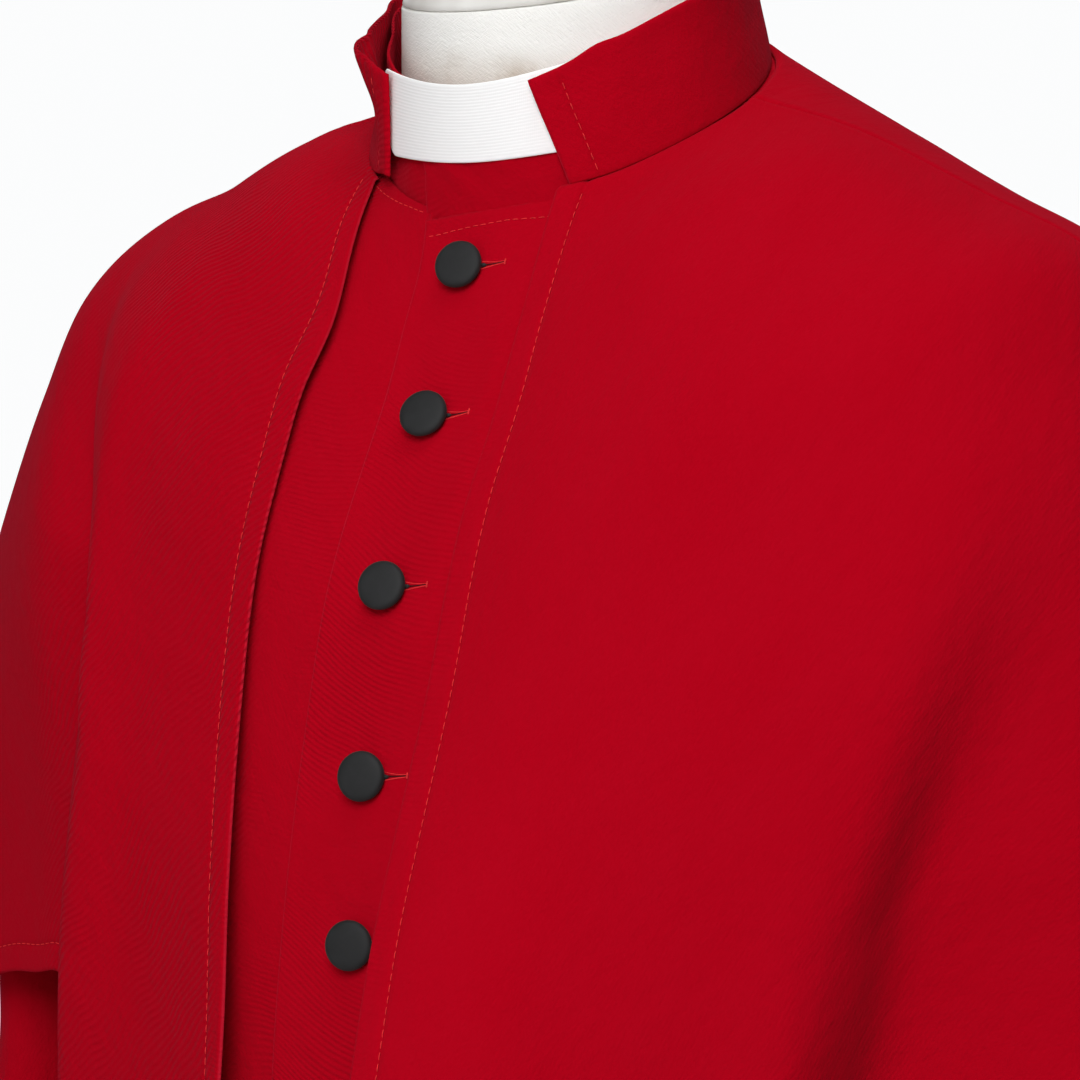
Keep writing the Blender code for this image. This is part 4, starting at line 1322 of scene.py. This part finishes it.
# ---------------------------------------------------------------- dress form
def form_clearance(angle, path):
    """How far the form lies inside the cloth: least on top of the shoulders that carry it."""
    from_side = np.abs(np.abs((angle + 180) % 360 - 180) - 90)
    over_shoulder = smooth_step(1.6 - from_side / SHOULDER_REACH)
    on_top = smooth_step((path - 0.02) / 0.02) * smooth_step((0.155 - path) / 0.03)
    return SHOULDER_CLEARANCE + BODY_CLEARANCE * (1 - over_shoulder * on_top)


def shrunk(ring, share):
    """A ring drawn in towards its own middle, at the same height."""
    middle = ring.mean(axis=0)
    return middle + (ring - middle) * (share, share, 1)


def neck_rings(angles):
    """Rings of the form's neck, from the cap's seam down to the shoulders."""
    rings = []
    for ring in NECK_RINGS:
        level = Cloth([ring, ring._replace(path=1)], [], [], 1.0, False)
        rings.append(surface(level, angles, 0 * angles))
    return carried(np.array(rings), [0, 1, 2], np.linspace(0, 2, 13))


def make_torso(neck, angles):
    """Neck and torso in one: the cassock's own rings without folds, drawn in by the
    clearance, with a rounded foot.
    """
    still = CASSOCK._replace(folds=[], waves=[])
    upper = np.linspace(FORM_TOP_PATH, ARMHOLE_TOP_PATH, 16)
    lower = np.linspace(0.16, FORM_FOOT_PATH - 0.02, 44)
    torso = [
        moved(still, angles, path + 0 * angles, -form_clearance(angles, path))
        for path in (*upper, *lower)
    ]
    foot = torso[-1]
    uneven = foot[:, 2].min() - foot[:, 2]
    rims = []
    for drop, share in FOOT_RIMS:
        rim = foot * (share, share, 1)
        rim[:, 2] += uneven * drop / FOOT_RIMS[-1][0] - drop * MM
        rims.append(rim)
    seam = [shrunk(neck[0], share) + (0, 0, lift * MM) for share, lift in SEAM_RIMS]
    first = neck[0] - (0, 0, SEAM_SUNK)
    return np.array([*seam, first, *neck[1:], *torso, *rims])


def make_cap(seam):
    """The domed cap above the neck's seam."""
    middle = seam.mean(axis=0)
    rings = []
    for share, lift in CAP_RINGS:
        ring = middle + (seam - middle) * share
        ring[:, 2] = middle[2] + (seam[:, 2] - middle[2]) * min(1, share + 0.02) + lift * MM
        rings.append(ring)
    return np.array(rings)


def make_form():
    """The torso and neck, the cap above the neck's seam, the pole and the base."""
    angles = np.arange(0, 360, 2.5)
    neck = neck_rings(angles)
    canvas = shared_look("form_canvas", linen_look)
    body = solid_of_rings("form_torso_canvas", make_torso(neck, angles), canvas)
    stands_for(body, "form_torso")
    canvas = shared_look("form_cap_canvas", cap_look)
    cap = solid_of_rings("form_neck_cap_canvas", make_cap(neck[0]), canvas)
    stands_for(cap, "form_neck_cap")
    steel = shared_look("stand_steel", metal_look)
    low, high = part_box("form_pole")
    outline = [(POLE_RADIUS, high[2] / MM), (POLE_RADIUS, low[2] / MM)]
    stands_for(turned("form_pole_steel", outline, 48, steel), "form_pole")
    plate = turned("form_base_steel", BASE_PROFILE, 128, steel)
    stands_for(plate, "form_base")


def turned(name, profile, sides, look):
    """A solid turned about the upright axis from (radius, height) pairs in mm."""
    turns = turns_round(sides)
    radii, heights = (np.array(column)[:, None] * MM for column in zip(*profile))
    x, y = radii * np.sin(turns), -radii * np.cos(turns)
    return solid_of_rings(name, np.stack([x, y, heights + 0 * x], axis=-1), look)


# ---------------------------------------------------------------- stage
VIEW_AZIMUTH, VIEW_ELEVATION = 34.0, 2.0
VIEW_DISTANCE, VIEW_SIDESTEP, VIEW_HEIGHT = 1.5, -0.009, 1.33
FRAME_PIXELS, FOCAL_PIXELS, SENSOR_WIDTH = 1080, 4054, 36

# Each light is moved from the chest along the view's back, right and up, in metres.
Light = namedtuple("Light", "name back right up size power")
LIGHTS = [
    Light("key_softbox", 1.8, -0.3, 0.8, 1.1, 27.5),
    Light("low_softbox", 1.7, -1.2, -0.4, 1.1, 6),
    Light("overhead_softbox", 0.9, 0.2, 1.9, 1.4, 11),
    Light("rear_softbox", -0.9, 0.3, 1.9, 1.4, 12),
    Light("left_softbox", 0.4, -1.9, 0.1, 1.0, 1.5),
    Light("back_softbox", -2.4, 0.4, 0.5, 1.6, 26),
]
FLOOR_HALF, FLOOR_HEIGHT = 6, -0.5 * MM
FLOOR_CORNERS = ((-1, -1), (1, -1), (1, 1), (-1, 1))


def view_axes():
    """Right, up and back of the view, as unit vectors."""
    turn, tilt = math.radians(VIEW_AZIMUTH), math.radians(VIEW_ELEVATION)
    right = np.array([math.cos(turn), math.sin(turn), 0])
    level = np.array([math.sin(turn), -math.cos(turn), 0])
    back = level * math.cos(tilt) + np.array([0, 0, math.sin(tilt)])
    return right, np.cross(back, right), back


def placed(name, data, position, target):
    """A lamp or camera at position, its -Z towards target and its Y upwards."""
    back = unit(position - target)
    right = unit(np.cross([0, 0, 1.0], back))
    matrix = np.eye(4)
    matrix[:3, 0], matrix[:3, 1], matrix[:3, 2] = right, np.cross(back, right), back
    matrix[:3, 3] = position
    made = bpy.data.objects.new(name, data)
    bpy.context.scene.collection.objects.link(made)
    made.matrix_world = matrix.T
    return made


def soft_light(plan, middle, axes):
    light = bpy.data.lights.new(plan.name, "AREA")
    light.shape, light.size, light.energy = "DISK", plan.size, plan.power
    right, up, back = axes
    position = middle + back * plan.back + right * plan.right + up * plan.up
    placed(plan.name, light, position, middle)


def white_world():
    """Pale air that lights faintly, and that is seen as a white studio."""
    world = bpy.data.worlds.new("studio_white")
    world.use_nodes = True
    nodes = Nodes(world.node_tree)
    air = nodes.tree.nodes["Background"]
    air.inputs["Color"].default_value = (0.97, 0.985, 1.0, 1)
    air.inputs["Strength"].default_value = 0.05
    white = nodes.add("ShaderNodeBackground", None, {"Color": (0.97, 0.975, 0.98, 1)})
    shades = (Term(nodes, node.outputs[0]) for node in (air, white))
    blend = nodes.add("ShaderNodeMixShader", None, dict(enumerate((nodes.seen(), *shades))))
    nodes.join(nodes.tree.nodes["World Output"].inputs["Surface"], Term(nodes, blend.outputs[0]))
    return world


def make_floor():
    """A plain pale floor, which glows only where it is seen, to be as pale as the air."""
    mesh = bpy.data.meshes.new("studio_floor")
    corners = [(x * FLOOR_HALF, y * FLOOR_HALF, FLOOR_HEIGHT) for x, y in FLOOR_CORNERS]
    mesh.from_pydata(corners, [], [(0, 1, 2, 3)])
    look = Look("studio_floor", Roughness=0.8, Emission_Strength=1.0)
    look.colour((0.82, 0.82, 0.82, 1))
    glow = look.mix(look.seen(), (0, 0, 0), (0.5, 0.5, 0.5))
    look.join(look.shader.inputs["Emission Color"], glow)
    mesh.materials.append(look.material)
    floor = bpy.data.objects.new("studio_floor", mesh)
    bpy.context.scene.collection.objects.link(floor)


def make_stage():
    scene = bpy.context.scene
    axes = view_axes()
    middle = np.array([0, 0, VIEW_HEIGHT])
    target = middle + axes[0] * VIEW_SIDESTEP
    data = bpy.data.cameras.new("studio_camera")
    data.sensor_width = SENSOR_WIDTH
    data.lens = FOCAL_PIXELS * SENSOR_WIDTH / FRAME_PIXELS
    scene.camera = placed("studio_camera", data, target + axes[2] * VIEW_DISTANCE, target)
    scene.view_settings.view_transform = "Standard"
    scene.world = white_world()
    for plan in LIGHTS:
        soft_light(plan, middle, axes)
    make_floor()


# ---------------------------------------------------------------- operators
class CASSOCK_OT_form(bpy.types.Operator):
    """Make the dress form, its pole and its base"""

    bl_idname = "cassock.form"
    bl_label = "Dress form"

    def execute(self, context):
        make_form()
        return {"FINISHED"}


class CASSOCK_OT_body(bpy.types.Operator):
    """Make the cassock's two fronts and its back"""

    bl_idname = "cassock.body"
    bl_label = "Fronts and back"

    def execute(self, context):
        nodes = ("front_left", "front_right", "back")
        cuts = (((0.62, 1.45), 0.55), ((0.62, 1.45), 0.55), ((1.05, 1.50), 0.95))
        for piece, node, (flat, area) in zip((*make_fronts(), make_back()), nodes, cuts):
            stands_for(piece, node)
        return {"FINISHED"}


class CASSOCK_OT_sleeves(bpy.types.Operator):
    """Make the two empty sleeves"""

    bl_idname = "cassock.sleeves"
    bl_label = "Sleeves"

    def execute(self, context):
        for piece, node in zip(make_sleeves(), ("sleeve_left", "sleeve_right")):
            stands_for(piece, node)
        return {"FINISHED"}


class CASSOCK_OT_cape(bpy.types.Operator):
    """Make the shoulder cape's fronts and back"""

    bl_idname = "cassock.cape"
    bl_label = "Shoulder cape"

    def execute(self, context):
        nodes = ("cape_front_left", "cape_back", "cape_front_right")
        cuts = (((0.48, 0.50), 0.13), ((0.98, 0.52), 0.27), ((0.46, 0.50), 0.11))
        for piece, node, (flat, area) in zip(make_cape(), nodes, cuts):
            stands_for(piece, node)
        return {"FINISHED"}


class CASSOCK_OT_collar(bpy.types.Operator):
    """Make the outer collar, the neck band and the white tab"""

    bl_idname = "cassock.collar"
    bl_label = "Collar, band and tab"

    def execute(self, context):
        plan = (
            (make_collar(), "cape_collar", "cloth", (0.41, 0.044), "cape_back_cloth"),
            (make_neck_band(), "neck_band", "cloth", (0.47, 0.052), "back_cloth"),
            (make_tab(), "collar_tab", "tab", (0.105, 0.028), "neck_band_cloth"),
        )
        for piece, node, slot, flat, carrier in plan:
            stands_for(piece, node)
        return {"FINISHED"}


class CASSOCK_OT_stitches(bpy.types.Operator):
    """Sew the rows of topstitching"""

    bl_idname = "cassock.stitches"
    bl_label = "Topstitching"

    def execute(self, context):
        make_stitches()
        return {"FINISHED"}


class CASSOCK_OT_buttons(bpy.types.Operator):
    """Make the buttons and sew their buttonholes"""

    bl_idname = "cassock.buttons"
    bl_label = "Buttons and buttonholes"

    def execute(self, context):
        make_buttons()
        make_buttonholes()
        return {"FINISHED"}


class CASSOCK_OT_stage(bpy.types.Operator):
    """Set up the floor, the soft lights and the camera"""

    bl_idname = "cassock.stage"
    bl_label = "Studio"

    def execute(self, context):
        make_stage()
        return {"FINISHED"}


OPERATORS = (
    CASSOCK_OT_form,
    CASSOCK_OT_body,
    CASSOCK_OT_sleeves,
    CASSOCK_OT_cape,
    CASSOCK_OT_collar,
    CASSOCK_OT_stitches,
    CASSOCK_OT_buttons,
    CASSOCK_OT_stage,
)


class CASSOCK_PT_panel(bpy.types.Panel):
    """Lists the settings and the pieces"""

    bl_idname = "CASSOCK_PT_panel"
    bl_label = "Cassock"
    bl_space_type = "VIEW_3D"
    bl_region_type = "UI"
    bl_category = "Cassock"

    def draw(self, context):
        for group in (context.scene.cassock_sizes, context.scene.cassock_colours):
            for name in group.__annotations__:
                self.layout.prop(group, name)
        for operator in OPERATORS:
            self.layout.operator(operator.bl_idname)


CLASSES = (CassockSizes, CassockColours, *OPERATORS, CASSOCK_PT_panel)


def register():
    for made in CLASSES:
        bpy.utils.register_class(made)
    bpy.types.Scene.cassock_sizes = PointerProperty(type=CassockSizes)
    bpy.types.Scene.cassock_colours = PointerProperty(type=CassockColours)


def unregister():
    del bpy.types.Scene.cassock_colours
    del bpy.types.Scene.cassock_sizes
    for made in reversed(CLASSES):
        bpy.utils.unregister_class(made)


def main():
    register()
    for operator in OPERATORS:
        group, name = operator.bl_idname.split(".")
        getattr(getattr(bpy.ops, group), name)()


if __name__ == "__main__":
    main()
